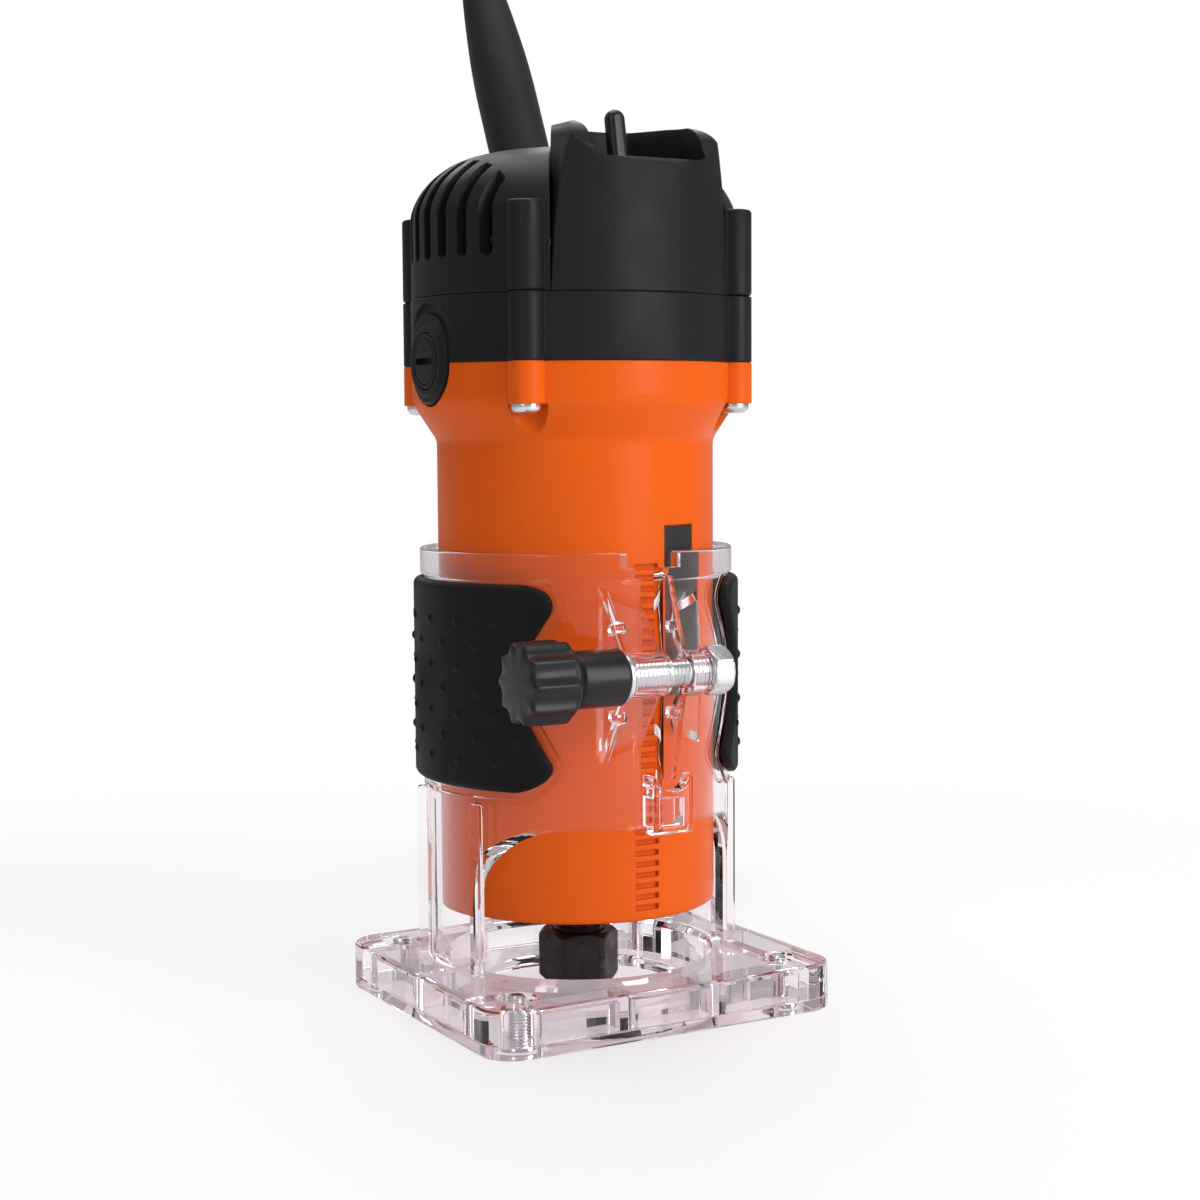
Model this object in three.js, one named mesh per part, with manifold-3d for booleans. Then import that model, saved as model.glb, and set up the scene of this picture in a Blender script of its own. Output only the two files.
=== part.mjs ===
// Trim router: a barrel-shaped motor unit that slides in a clear split-sleeve base.
// Millimetres, +Z up. The origin is on the spindle axis at the underside of the sole;
// the clamp slot and the switch face -Y.

import * as THREE from 'three';
import { mergeVertices } from 'three/addons/utils/BufferGeometryUtils.js';
import Module from 'manifold-3d';

const wasm = await Module();
wasm.setup();

// Driving dimensions

const BARREL_R = 32.5;           // motor barrel, the standard 65 mm
const BARREL_BOTTOM = 23.5;
const TAPER_BOTTOM = 132.5;
const SHOULDER_Z = 141;
const HEAD_R = 38;
const HOUSING_TOP = 150;
const BAND_TOP = 165;
const HEAD_TOP = 199.2;
const CORNER = 27;               // corner columns stand at (+-CORNER, +-CORNER)
const COLUMN_R = 4.2;

const BASE_HALF_X = 45;
const BASE_FRONT = -45;
const BASE_BACK = 37;
const BASE_TOP = 11;
const SOLE_THICK = 3;
const BASE_CORNER_R = 8;
const BASE_OPENING_R = 31;
const SOLE_OPENING_R = 25;
const SOLE_SCREWS = [[-34.5, -34], [34.5, -34], [-34.5, 27], [34.5, 27]];

const SLEEVE_IN = BARREL_R + 0.4;
const SLEEVE_OUT = 36;
const SLEEVE_TOP = 107.5;
const RIM_BOTTOM = 101;
const ARCH_TOP = 45.5;
const SLOT_LEFT = -3.5;
const SLOT_RIGHT = 1.8;

const CLAMP_Y = -45.5;           // clamp screw axis, parallel to X
const CLAMP_Z = 81.5;
const STUD_R = 3;
const LUG_LEFT = -13;
const LUG_RIGHT = 7;

const NUT_BOTTOM = 3.5;
const NUT_TOP = 15.5;
const NUT_FLATS = 17;

const BRUSH_Z = 150.5;

const SWITCH_Y = -23.1;
const SWITCH_PIVOT_Z = 185;
const LEVER_LENGTH = 22.1;
const LEVER_LEAN = THREE.MathUtils.degToRad(10.5);

const GUARD_ROOT = new THREE.Vector3(0, 24.3, 197);
const GUARD_TILT = THREE.MathUtils.degToRad(25);   // leans back from the vertical
const GUARD_LENGTH = 58;

const LEAD_R = 3.1;
const LEAD_LENGTH = 1750;
const LEAD_HEADING = THREE.MathUtils.degToRad(59);  // where the lead runs to, seen from above
const LEAD_RISE = 25;
const LEAD_BEND_R = 29;
const LEAD_LEAN = THREE.MathUtils.degToRad(8);      // the drop leans back towards the motor
const CURL_R = 25;
const COIL_LIFT = 1;
const COIL_LAYERS = 3;

const GAP = 0.3;                 // between pieces that touch

// Finishes

function finish(color, roughness, metalness = 0, extra = {}) {
  return new THREE.MeshStandardMaterial({ color, roughness, metalness, ...extra });
}

const clearPlastic = finish(0xe9e0e4, 0.08, 0, { transparent: true, opacity: 0.35 });
const orangePlastic = finish(0xe2591a, 0.4);
const blackPlastic = finish(0x232225, 0.5);
const rubber = finish(0x1c1b1d, 0.75);
const zinc = finish(0xc9cbcd, 0.3, 1);
const blackedSteel = finish(0x1d1a1b, 0.35, 0.9);
const steel = finish(0xa8aaad, 0.35, 1);
const brass = finish(0xb5943f, 0.35, 1);
const copper = finish(0xa85a2c, 0.4, 1);
const carbon = finish(0x2b2b2d, 0.8);
const lamination = finish(0x6d6f72, 0.5, 0.8);
const fanPlastic = finish(0x3a3c40, 0.6);
const leadRubber = finish(0x19191b, 0.6);

// Solids

// A closed three.js geometry as a solid with outward faces.
function toSolid(geometry) {
  const bare = geometry.clone();
  bare.deleteAttribute('normal');
  bare.deleteAttribute('uv');
  const merged = mergeVertices(bare, 1e-4);
  const vertProperties = new Float32Array(merged.attributes.position.array);
  const triVerts = wholeTriangles(merged.index.array);
  if (signedVolume(vertProperties, triVerts) < 0) triVerts.reverse();
  return new wasm.Manifold(new wasm.Mesh({ numProp: 3, vertProperties, triVerts }));
}

// The triangles whose three corners differ; merging flattens those at a pole.
function wholeTriangles(index) {
  const kept = [];
  for (let i = 0; i < index.length; i += 3) {
    const [a, b, c] = [index[i], index[i + 1], index[i + 2]];
    if (a !== b && b !== c && c !== a) kept.push(a, b, c);
  }
  return new Uint32Array(kept);
}

function signedVolume(positions, triangles) {
  const corner = (k) => new THREE.Vector3().fromArray(positions, 3 * triangles[k]);
  let sum = 0;
  for (let i = 0; i < triangles.length; i += 3) {
    sum += corner(i).dot(corner(i + 1).cross(corner(i + 2)));
  }
  return sum / 6;
}

function toGeometry(solid) {
  const { vertProperties, triVerts } = solid.getMesh();
  const geometry = new THREE.BufferGeometry();
  geometry.setAttribute('position', new THREE.BufferAttribute(new Float32Array(vertProperties), 3));
  geometry.setIndex(new THREE.BufferAttribute(new Uint32Array(triVerts), 1));
  geometry.computeVertexNormals();
  return geometry;
}

function joined(...solids) {
  return solids.reduce((whole, next) => whole.add(next));
}

function cut(solid, ...tools) {
  return tools.reduce((left, tool) => left.subtract(tool), solid);
}

// A profile of [radius, height] pairs, closed on itself and turned about Z.
function turned(profile, segments = 36) {
  const outline = [...profile, profile[0]].map(([r, z]) => new THREE.Vector2(r, z));
  return toSolid(new THREE.LatheGeometry(outline, segments).rotateX(Math.PI / 2));
}

function ring(inner, outer, z0, z1, segments = 24) {
  return turned([[inner, z0], [outer, z0], [outer, z1], [inner, z1]], segments);
}

function rod(radius, z0, z1, x = 0, y = 0, segments = 16) {
  const cylinder = new THREE.CylinderGeometry(radius, radius, z1 - z0, segments);
  return toSolid(cylinder.rotateX(Math.PI / 2).translate(x, y, (z0 + z1) / 2));
}

function rodAlongX(radius, x0, x1, y = 0, z = 0, segments = 16) {
  const cylinder = new THREE.CylinderGeometry(radius, radius, x1 - x0, segments);
  return toSolid(cylinder.rotateZ(Math.PI / 2).translate((x0 + x1) / 2, y, z));
}

function rodAlongY(radius, y0, y1, x = 0, z = 0, segments = 16) {
  const cylinder = new THREE.CylinderGeometry(radius, radius, y1 - y0, segments);
  return toSolid(cylinder.translate(x, (y0 + y1) / 2, z));
}

function block(x0, x1, y0, y1, z0, z1) {
  const box = new THREE.BoxGeometry(x1 - x0, y1 - y0, z1 - z0);
  return toSolid(box.translate((x0 + x1) / 2, (y0 + y1) / 2, (z0 + z1) / 2));
}

// A flat outline in X and Y, raised along Z.
function raised(shape, z0, z1, curveSegments = 3) {
  const options = { depth: z1 - z0, bevelEnabled: false, curveSegments };
  return toSolid(new THREE.ExtrudeGeometry(shape, options).translate(0, 0, z0));
}

// An outline of [y, z] points, drawn out along X.
function sideways(points, x0, x1) {
  const shape = new THREE.Shape(points.map(([y, z]) => new THREE.Vector2(y, z)));
  const turn = new THREE.Matrix4().makeBasis(
    new THREE.Vector3(0, 1, 0), new THREE.Vector3(0, 0, 1), new THREE.Vector3(1, 0, 0));
  const options = { depth: x1 - x0, bevelEnabled: false };
  return toSolid(new THREE.ExtrudeGeometry(shape, options).applyMatrix4(turn).translate(x0, 0, 0));
}

// A shape in X and Z, drawn out along Y.
function frontways(shape, y0, y1, curveSegments = 4) {
  const options = { depth: y1 - y0, bevelEnabled: false, curveSegments };
  return toSolid(new THREE.ExtrudeGeometry(shape, options).rotateX(Math.PI / 2).translate(0, y1, 0));
}

function roundedRectangle(x0, x1, y0, y1, radius) {
  const shape = new THREE.Shape();
  const quarter = Math.PI / 2;
  shape.absarc(x1 - radius, y0 + radius, radius, -quarter, 0);
  shape.absarc(x1 - radius, y1 - radius, radius, 0, quarter);
  shape.absarc(x0 + radius, y1 - radius, radius, quarter, 2 * quarter);
  shape.absarc(x0 + radius, y0 + radius, radius, 2 * quarter, 3 * quarter);
  return shape;
}

// Part of a ring, centred on a direction given in degrees from +X.
function ringSector(inner, outer, middle, half, z0, z1, curveSegments = 8) {
  const from = THREE.MathUtils.degToRad(middle - half);
  const to = THREE.MathUtils.degToRad(middle + half);
  const shape = new THREE.Shape();
  shape.absarc(0, 0, outer, from, to, false);
  shape.absarc(0, 0, inner, to, from, true);
  return raised(shape, z0, z1, curveSegments);
}

function hexagon(flats, z0, z1) {
  const radius = flats / Math.sqrt(3);
  return rod(radius, z0, z1, 0, 0, 6);
}

const atCorners = [[-1, -1], [1, -1], [1, 1], [-1, 1]].map(([i, j]) => [i * CORNER, j * CORNER]);

// The assembly

const router = new THREE.Group();

function addPart(name, solid, material, parent = router) {
  const mesh = new THREE.Mesh(toGeometry(solid), material);
  mesh.name = name;
  parent.add(mesh);
  return mesh;
}

// Base: one clear moulding of plate, two legs and split sleeve

function archOpening() {
  const half = 30.2;
  const shape = new THREE.Shape();
  shape.moveTo(-half, BASE_TOP);
  shape.lineTo(half, BASE_TOP);
  shape.lineTo(half, 31);
  shape.quadraticCurveTo(half - 1.5, ARCH_TOP - 1, half - 10, ARCH_TOP);
  shape.lineTo(10 - half, ARCH_TOP);
  shape.quadraticCurveTo(1.5 - half, ARCH_TOP - 1, -half, 31);
  return shape;
}

// Lightening pockets in the underside of the plate, three along the front and the back.
function platePockets() {
  const pockets = [];
  for (const [y0, y1] of [[BASE_FRONT + 1.8, BASE_FRONT + 9], [BASE_BACK - 8, BASE_BACK - 1.8]]) {
    for (let k = -1; k <= 1; k++) {
      pockets.push(block(k * 19 - 8.6, k * 19 + 8.6, y0, y1, 0, BASE_TOP - 2));
    }
  }
  for (const side of [-1, 1]) {
    for (const y of [-16, 9]) {
      const [x0, x1] = [side * 39.5 - 3.6, side * 39.5 + 3.6];
      pockets.push(block(x0, x1, y - 10, y + 10, 0, BASE_TOP - 2));
    }
  }
  return pockets;
}

function clampLug(x0, x1) {
  const web = sideways([
    [-SLEEVE_IN - 0.4, 60.5], [-35.5, 61.5], [CLAMP_Y + 1.5, CLAMP_Z - 4.9],
    [CLAMP_Y + 1.5, CLAMP_Z + 4.9], [-35.5, 99], [-SLEEVE_IN - 0.4, 100],
  ], x0, x1);
  return web.add(rodAlongX(4.9, x0, x1, CLAMP_Y, CLAMP_Z));
}

function baseFrame() {
  const outline = roundedRectangle(-BASE_HALF_X, BASE_HALF_X, BASE_FRONT, BASE_BACK, BASE_CORNER_R);
  const plate = cut(
    raised(outline, SOLE_THICK, BASE_TOP),
    rod(BASE_OPENING_R, 0, BASE_TOP + 1, 0, 0, 36),
    ...platePockets(),
    ...SOLE_SCREWS.flatMap(([x, y]) => [
      rod(2.4, 0, BASE_TOP + 1, x, y, 8), rod(4, BASE_TOP - 1, BASE_TOP + 1, x, y, 12)]),
  );
  const sleeve = turned([
    [SLEEVE_IN, BASE_TOP - 0.5], [SLEEVE_OUT, BASE_TOP - 0.5], [SLEEVE_OUT, RIM_BOTTOM],
    [SLEEVE_OUT + 0.8, RIM_BOTTOM + 0.6], [SLEEVE_OUT + 0.8, SLEEVE_TOP], [SLEEVE_IN, SLEEVE_TOP],
  ]);
  const legs = cut(
    sleeve,
    frontways(archOpening(), -60, -10),
    frontways(archOpening(), 10, 60),
    block(SLOT_LEFT, SLOT_RIGHT, -60, -20, 40, 120),
    block(SLOT_LEFT - 4.5, SLOT_LEFT + 1, -60, -20, SLEEVE_TOP - 4, 120),
    block(SLOT_RIGHT - 1, SLOT_RIGHT + 5, -60, -20, SLEEVE_TOP - 4, 120),
  );
  const flanges = [-1, 1].flatMap((side) => [-1, 1].map((end) => {
    const [x0, x1] = [side * 31.4 - 1, side * 31.4 + 1];
    const [y0, y1] = [end * 17.6 - 2.6, end * 17.6 + 2.6];
    return block(x0, x1, y0, y1, BASE_TOP - 0.5, 52);
  }));
  const depthWindow = cut(
    block(0, 10, -39, -SLEEVE_IN - 0.6, 44, 57.5),
    rodAlongY(6, -45, -20, 5, 61.5),
  );
  const solid = joined(plate, legs, ...flanges, depthWindow,
    clampLug(LUG_LEFT, SLOT_LEFT), clampLug(SLOT_RIGHT, LUG_RIGHT));
  return cut(solid, rodAlongX(STUD_R + 0.35, -20, 20, CLAMP_Y, CLAMP_Z),
    rod(SLEEVE_IN, BASE_TOP, SLEEVE_TOP + 1, 0, 0, 36));
}

function soleSheet() {
  const outline = roundedRectangle(-BASE_HALF_X, BASE_HALF_X, BASE_FRONT, BASE_BACK, BASE_CORNER_R);
  return cut(
    raised(outline, 0, SOLE_THICK - 0.05),
    rod(SOLE_OPENING_R, -1, SOLE_THICK + 1, 0, 0, 32),
    ...SOLE_SCREWS.flatMap(([x, y]) => [
      rod(2.4, -1, SOLE_THICK + 1, x, y, 8), rod(4, -1, 2, x, y, 12)]),
  );
}

// Head recessed in the sole, threaded end standing in the recess of the plate's top face.
function soleScrew() {
  return turned([[0, 0.2], [3.5, 0.2], [3.5, 1.7], [2, 1.7], [2, 11], [1.4, 11.6], [0, 11.6]], 12);
}

function gripPad() {
  const pad = ringSector(SLEEVE_OUT + GAP, SLEEVE_OUT + 2.4, 180, 52, 53, 100.4, 8);
  const notches = [-1, 1].map((end) => {
    const bite = rodAlongX(11, 20, 50, 0, 77, 20);
    return bite.rotate([0, 0, 180 + end * 62]);
  });
  return cut(pad, ...notches);
}

addPart('base_frame', baseFrame(), clearPlastic);
addPart('sub_base', soleSheet(), clearPlastic);
SOLE_SCREWS.forEach(([x, y], k) => {
  addPart(`sub_base_screw_${k + 1}`, soleScrew(), zinc).position.set(x, y, 0);
});
addPart('grip_pad_left', gripPad(), rubber);
addPart('grip_pad_right', gripPad(), rubber).rotation.z = Math.PI;

// Clamp screw across the slot, modelled along Z and laid along X with its knob at -X

const clamp = new THREE.Group();
clamp.position.set(0, CLAMP_Y, CLAMP_Z);
clamp.rotation.y = Math.PI / 2;
router.add(clamp);

function clampKnob() {
  const head = turned([
    [0, -40], [8, -40], [9, -39.4], [9.3, -38.4], [9.3, -25.4], [8.2, -24.1], [5.8, -23.7],
    [6.3, -23], [6.3, -15], [0, -15],
  ], 30);
  const flutes = Array.from({ length: 10 }, (_, k) => {
    const angle = (k * Math.PI) / 5;
    return rod(2, -42, -25, 10.4 * Math.cos(angle), 10.4 * Math.sin(angle), 8);
  });
  return cut(head, ...flutes, rod(STUD_R + 0.15, -32, -10, 0, 0, 16));
}

addPart('clamp_knob', clampKnob(), blackPlastic, clamp);
addPart('clamp_stud', rod(STUD_R, -31.5, 11, 0, 0, 16), zinc, clamp);
addPart('clamp_washer', ring(STUD_R + 0.3, 6, -14.7, -13.5, 24), zinc, clamp);
addPart('clamp_nut', cut(hexagon(10, LUG_RIGHT + 0.2, 12.2), rod(STUD_R + 0.3, 0, 20, 0, 0, 16)), zinc, clamp);

// Motor housing: barrel, taper, shoulder and four corner bosses

function rackTeeth() {
  const pitch = 2.5;
  const count = 32;
  return Array.from({ length: count }, (_, k) => {
    const z = BARREL_BOTTOM + 2.5 + k * pitch;
    return block(-3.05, 3.05, -BARREL_R - 1, -BARREL_R + 1.3, z, z + 1.25);
  });
}

function motorHousing() {
  const shell = turned([
    [8.8, BARREL_BOTTOM], [31.6, BARREL_BOTTOM], [BARREL_R, 24.4], [BARREL_R, TAPER_BOTTOM],
    [HEAD_R, SHOULDER_Z], [HEAD_R, HOUSING_TOP], [35.2, HOUSING_TOP], [35.2, 145], [30, 142],
    [30, 30], [17, 30], [17, 35], [14.3, 35], [14.3, 26.5], [8.8, 26.5],
  ]);
  const bosses = atCorners.map(([x, y]) => rod(COLUMN_R, SHOULDER_Z, HOUSING_TOP, x, y));
  const screwRoom = atCorners.flatMap(([x, y]) => [
    rod(4.6, 134, SHOULDER_Z, x, y), rod(1.9, 130, 160, x, y, 8)]);
  const brushSeats = [-1, 1].map((side) =>
    rodAlongX(8.8, side * 37 - 4, side * 37 + 4, 0, BRUSH_Z, 24));
  const outlets = Array.from({ length: 6 }, (_, k) => {
    const angle = ((k + 0.5) * Math.PI) / 3;
    return rod(3, 20, 32, 23.5 * Math.cos(angle), 23.5 * Math.sin(angle), 8);
  });
  return cut(joined(shell, ...bosses), ...screwRoom, ...brushSeats, ...outlets, ...rackTeeth(),
    ringSector(31.7, 34, -72.6, 8.6, 74.7, 113.3, 4));
}

addPart('motor_housing', motorHousing(), orangePlastic);
addPart('name_plate', ringSector(31.9, 32.4, -72.6, 8.2, 75, 113, 4), blackPlastic);

// Brush band: carries the brush gear and the upper bearing

function brushBand() {
  const wall = ring(35.4, HEAD_R + 0.2, HOUSING_TOP + 0.05, BAND_TOP, 36);
  const deck = turned([
    [8, 159.5], [36, 159.5], [36, 161.5], [13.6, 161.5], [13.6, 168], [11.3, 168], [11.3, 161], [8, 161],
  ], 24);
  const columns = atCorners.map(([x, y]) => rod(COLUMN_R, HOUSING_TOP + 0.05, BAND_TOP, x, y));
  const tongues = [-1, 1].map((side) =>
    rodAlongX(8.5, side * 36 - 2.4, side * 36 + 2.4, 0, BRUSH_Z, 24));
  const holes = atCorners.map(([x, y]) => rod(1.9, 140, 170, x, y, 8));
  const capBores = [-1, 1].map((side) => rodAlongX(6.6, side * 36 - 5, side * 36 + 5, 0, BRUSH_Z, 16));
  const leadHoles = [-1, 1].map((side) => rod(3.5, 150, 165, 0, side * 24, 8));
  return cut(joined(wall, deck, ...columns, ...tongues), ...holes, ...capBores, ...leadHoles);
}

addPart('brush_band', brushBand(), blackPlastic);

// Upper head: domed cover with side vents, and the switch guard let into its front

const domeOutside = [
  [HEAD_R, BAND_TOP + 0.05], [HEAD_R, 184.5], [37.2, 188.3], [34.6, 192.2], [29.5, 195.6],
  [20, 198], [0, HEAD_TOP],
];
const domeInside = [
  [0, 196.4], [19, 195.2], [28.6, 192.8], [32.8, 189.6], [35.2, 185], [35.2, BAND_TOP + 0.05],
];

function shieldPlan(spare) {
  const half = THREE.MathUtils.degToRad(36.5) + spare / HEAD_R;
  const shape = new THREE.Shape();
  shape.absarc(0, 0, HEAD_R + 0.1 + spare, -Math.PI / 2 - half, -Math.PI / 2 + half, false);
  shape.lineTo(19 + spare, -14);
  shape.lineTo(17 + spare, -6 + spare);
  shape.lineTo(-17 - spare, -6 + spare);
  shape.lineTo(-19 - spare, -14);
  return shape;
}

function ventSlots() {
  const slots = [];
  for (const side of [-1, 1]) {
    for (let k = -3; k <= 3; k++) {
      const y = -0.6 + 6.2 * k;
      const [x0, x1] = side < 0 ? [-50, -28.5] : [28.5, 50];
      slots.push(block(x0, x1, y - 1.6, y + 1.6, 174, 205));
    }
  }
  return slots;
}

// A cylinder about the cord guard's leaning axis, between two distances from its root.
function alongGuard(radius, from, to, segments = 24) {
  const cylinder = new THREE.CylinderGeometry(radius, radius, to - from, segments);
  cylinder.rotateX(Math.PI / 2).translate(0, 0, (from + to) / 2).rotateX(-GUARD_TILT);
  return toSolid(cylinder.translate(...GUARD_ROOT));
}

function headCover() {
  const shell = turned([...domeOutside, ...domeInside]);
  const columns = atCorners.map(([x, y]) => turned([
    [0, BAND_TOP + 0.05], [COLUMN_R, BAND_TOP + 0.05], [COLUMN_R, 180], [2.6, 184], [0, 184.8],
  ], 16).translate([x, y, 0]));
  const saddle = block(-12, 12, 21, 36, 170, 175);
  const pilotHoles = atCorners.map(([x, y]) => rod(1.8, 160, 178, x, y, 8));
  const clampHoles = [-8.5, 8.5].map((x) => rod(1.7, 165, 180, x, 25, 8));
  return cut(joined(shell, ...columns, saddle), raised(shieldPlan(GAP), 160, 210, 6),
    ...ventSlots(), ...pilotHoles, ...clampHoles, alongGuard(7.6, -20, 20));
}

function frontShield() {
  const profile = sideways([
    [-39, BAND_TOP + 0.05], [-39, 190], [-37.4, 193.8], [-34.4, 195.2], [-33, 199.2],
    [-30.4, 201.6], [-26, 202.8], [-9, 202.8], [-5, 200.6], [-5, BAND_TOP + 0.05],
  ], -30, 30);
  const blank = raised(shieldPlan(0), BAND_TOP, 210, 6).intersect(profile);
  return cut(blank,
    block(-15.6, 15.6, -33, 0, 160, 187),
    block(-14.6, 14.6, -33.2, -10, 190, 215),
    block(-14.6, 14.6, -45, -30, 194.5, 215),
    block(-3.4, 3.4, -28.5, -15, 180, 195),
    block(-17.2, 17.2, -28, 0, 160, 172));
}

addPart('head_cover', headCover(), blackPlastic);
addPart('front_shield', frontShield(), blackPlastic);

function headScrew() {
  return turned([[0, 138.4], [2.8, 138.4], [3.5, 139.2], [3.5, 140.8], [1.6, 140.8], [1.6, 176], [0, 177.2]], 12);
}

atCorners.forEach(([x, y], k) => {
  addPart(`head_screw_${k + 1}`, headScrew(), zinc).position.set(x, y, 0);
});

// Brush gear, modelled on the +X side and turned round for the other

function brushCap() {
  const disc = rodAlongX(6.3, 35.2, 38.9, 0, BRUSH_Z, 24);
  return cut(disc, block(37.6, 40, -4.6, 4.6, BRUSH_Z - 0.7, BRUSH_Z + 0.7));
}

function brushHolder() {
  const tube = block(13, 34.6, -4, 4, BRUSH_Z - 4.5, BRUSH_Z + 4.5);
  return cut(tube, block(12, 36, -3.1, 3.1, BRUSH_Z - 3.6, BRUSH_Z + 3.6));
}

function carbonBrush() {
  return cut(block(10.3, 21, -2.9, 2.9, BRUSH_Z - 3.4, BRUSH_Z + 3.4), rod(10.3, 140, 160, 0, 0, 32));
}

function brushSpring() {
  return cut(rodAlongX(2.6, 21.3, 34.4, 0, BRUSH_Z, 12), rodAlongX(1.9, 20, 36, 0, BRUSH_Z, 12));
}

for (const [side, angle] of [['right', 0], ['left', Math.PI]]) {
  const gear = new THREE.Group();
  gear.rotation.z = angle;
  router.add(gear);
  addPart(`brush_cap_${side}`, brushCap(), blackPlastic, gear);
  addPart(`brush_holder_${side}`, brushHolder(), brass, gear);
  addPart(`carbon_brush_${side}`, carbonBrush(), carbon, gear);
  addPart(`brush_spring_${side}`, brushSpring(), steel, gear);
}

// Field: laminated stator with two poles, and the coil round each pole

function statorCore() {
  const yoke = ring(24.6, 29.7, 77, 115, 32);
  const poles = [90, -90].map((middle) => ringSector(18.4, 25.2, middle, 42, 77, 115, 5));
  return joined(yoke, ...poles);
}

function fieldCoil() {
  const ends = [[71, 76.5], [115.5, 121]].map(([z0, z1]) => ringSector(19, 24, -90, 62, z0, z1, 5));
  const sides = [-1, 1].map((end) => ringSector(19, 24, -90 + end * 54, 8, 71, 121, 1));
  return joined(...ends, ...sides);
}

addPart('stator_core', statorCore(), lamination);
addPart('field_coil_front', fieldCoil(), copper);
addPart('field_coil_rear', fieldCoil(), copper).rotation.z = Math.PI;
addPart('air_baffle', ring(22, 29.7, 50, 51.5), fanPlastic);

// Bearings: outer rings in the housings, inner rings on the spindle

addPart('lower_bearing_outer', ring(9.6, 14, 26.8, 34.4), steel);
addPart('upper_bearing_outer', ring(6.8, 11, 161.2, 167.8), steel);
addPart('lower_bearing_inner', ring(6.3, 9.2, 26.8, 34.4), steel);
addPart('upper_bearing_inner', ring(3.7, 6.4, 161.2, 167.8), steel);

// Spindle with everything that turns on it

function spindleShaft() {
  return turned([
    [0, 24], [3.4, 22], [4.8, 9], [5.9, 9], [5.9, 22.8], [8.3, 22.8], [8.3, 26.4], [6, 26.6], [6, 35], [5, 35.4],
    [5, 140], [4, 140.4], [4, 160.4], [3.4, 160.6], [3.4, 170], [0, 170],
  ], 24);
}

function armatureCore() {
  const slots = Array.from({ length: 12 }, (_, k) =>
    block(16.2, 19, -0.8, 0.8, 70, 120).rotate([0, 0, 30 * k]));
  return cut(ring(5.2, 17.8, 79, 113, 36), ...slots);
}

function fan() {
  const disc = turned([[5.2, 40], [25, 40], [25, 41.4], [9, 41.4], [9, 48.5], [5.2, 48.5]], 24);
  const blades = Array.from({ length: 10 }, (_, k) =>
    block(8.6, 24.6, -0.7, 0.7, 41, 48).rotate([0, 0, 36 * k]));
  return joined(disc, ...blades);
}

addPart('spindle_shaft', spindleShaft(), blackedSteel);
addPart('armature_core', armatureCore(), lamination);
addPart('armature_winding_lower', turned([[5.2, 66], [12, 66], [16, 71], [16, 78.7], [5.2, 78.7]], 20), copper);
addPart('armature_winding_upper', turned([[5.2, 113.3], [16, 113.3], [16, 121], [11, 130], [5.2, 130]], 20), copper);
addPart('commutator', ring(4.2, 10, 141, 159, 24), copper);
addPart('fan', fan(), fanPlastic);

// Collet and nut

function colletSleeve() {
  const sleeve = turned([
    [3.2, 4.2], [4.1, 4.2], [4.4, 8.6], [3.6, 17], [3.2, 17],
  ], 16);
  const slits = [0, 90].map((turn) => block(-6, 6, -0.3, 0.3, 0, 14).rotate([0, 0, turn]));
  return cut(sleeve, ...slits);
}

function colletNut() {
  const hexagonal = hexagon(NUT_FLATS, NUT_BOTTOM, NUT_TOP);
  const chamfer = turned([
    [0, NUT_BOTTOM], [8.4, NUT_BOTTOM], [9.8, NUT_BOTTOM + 1], [9.8, NUT_TOP - 1.6],
    [8, NUT_TOP], [0, NUT_TOP],
  ], 24);
  const bore = turned([
    [0, 0], [4.7, 0], [4.7, 8.2], [6.2, 8.2], [6.2, NUT_TOP + 1], [0, NUT_TOP + 1],
  ], 20);
  return cut(hexagonal.rotate([0, 0, 9]).intersect(chamfer), bore);
}

addPart('collet', colletSleeve(), steel);
addPart('collet_nut', colletNut(), blackedSteel);

// Switch

function leverStem() {
  const stem = block(-2.7, 2.7, -2.2, 2.2, 0, LEVER_LENGTH - 2.7);
  const tip = rodAlongY(2.7, -2.2, 2.2, 0, LEVER_LENGTH - 2.7, 20);
  return joined(stem, tip, rodAlongX(2.9, -2.7, 2.7, 0, 0, 20));
}

function switchBody() {
  const box = block(-8, 8, SWITCH_Y - 9, SWITCH_Y + 9, 172.5, 181.4);
  const terminals = [-1, 1].map((side) =>
    block(side * 4 - 0.5, side * 4 + 0.5, SWITCH_Y - 3, SWITCH_Y + 3, 168.4, 172.6));
  return joined(box, ...terminals);
}

addPart('switch_body', switchBody(), blackPlastic);
const lever = addPart('switch_lever', leverStem(), blackPlastic);
lever.position.set(0, SWITCH_Y, SWITCH_PIVOT_Z);
lever.rotation.x = -LEVER_LEAN;

// Mains lead: clamp, guard, free stretch, stored coil and plug

function cordClamp() {
  const bar = block(-11.5, 11.5, 22, 28, 175.3, 179.5);
  const holes = [-8.5, 8.5].map((x) => rod(1.7, 170, 185, x, 25, 10));
  return cut(bar, rodAlongY(3, 20, 30, 0, 174.9, 16), ...holes);
}

addPart('cord_clamp', cordClamp(), blackPlastic);
[-8.5, 8.5].forEach((x, k) => {
  const screw = turned([[0, 171], [1.4, 171], [1.4, 179.8], [2.8, 179.8], [2.8, 181.4], [0, 181.8]], 12);
  addPart(`cord_clamp_screw_${k + 1}`, screw, steel).position.set(x, 25, 0);
});

const guard = new THREE.Group();
guard.position.copy(GUARD_ROOT);
guard.rotation.x = -GUARD_TILT;
router.add(guard);
addPart('cord_guard', turned([
  [0, -9], [8.6, -9], [8.6, -7], [7.2, -6.6], [7.2, 24], [6.2, 42], [4.6, GUARD_LENGTH - 1],
  [4.2, GUARD_LENGTH], [0, GUARD_LENGTH],
], 16), leadRubber, guard);

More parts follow.
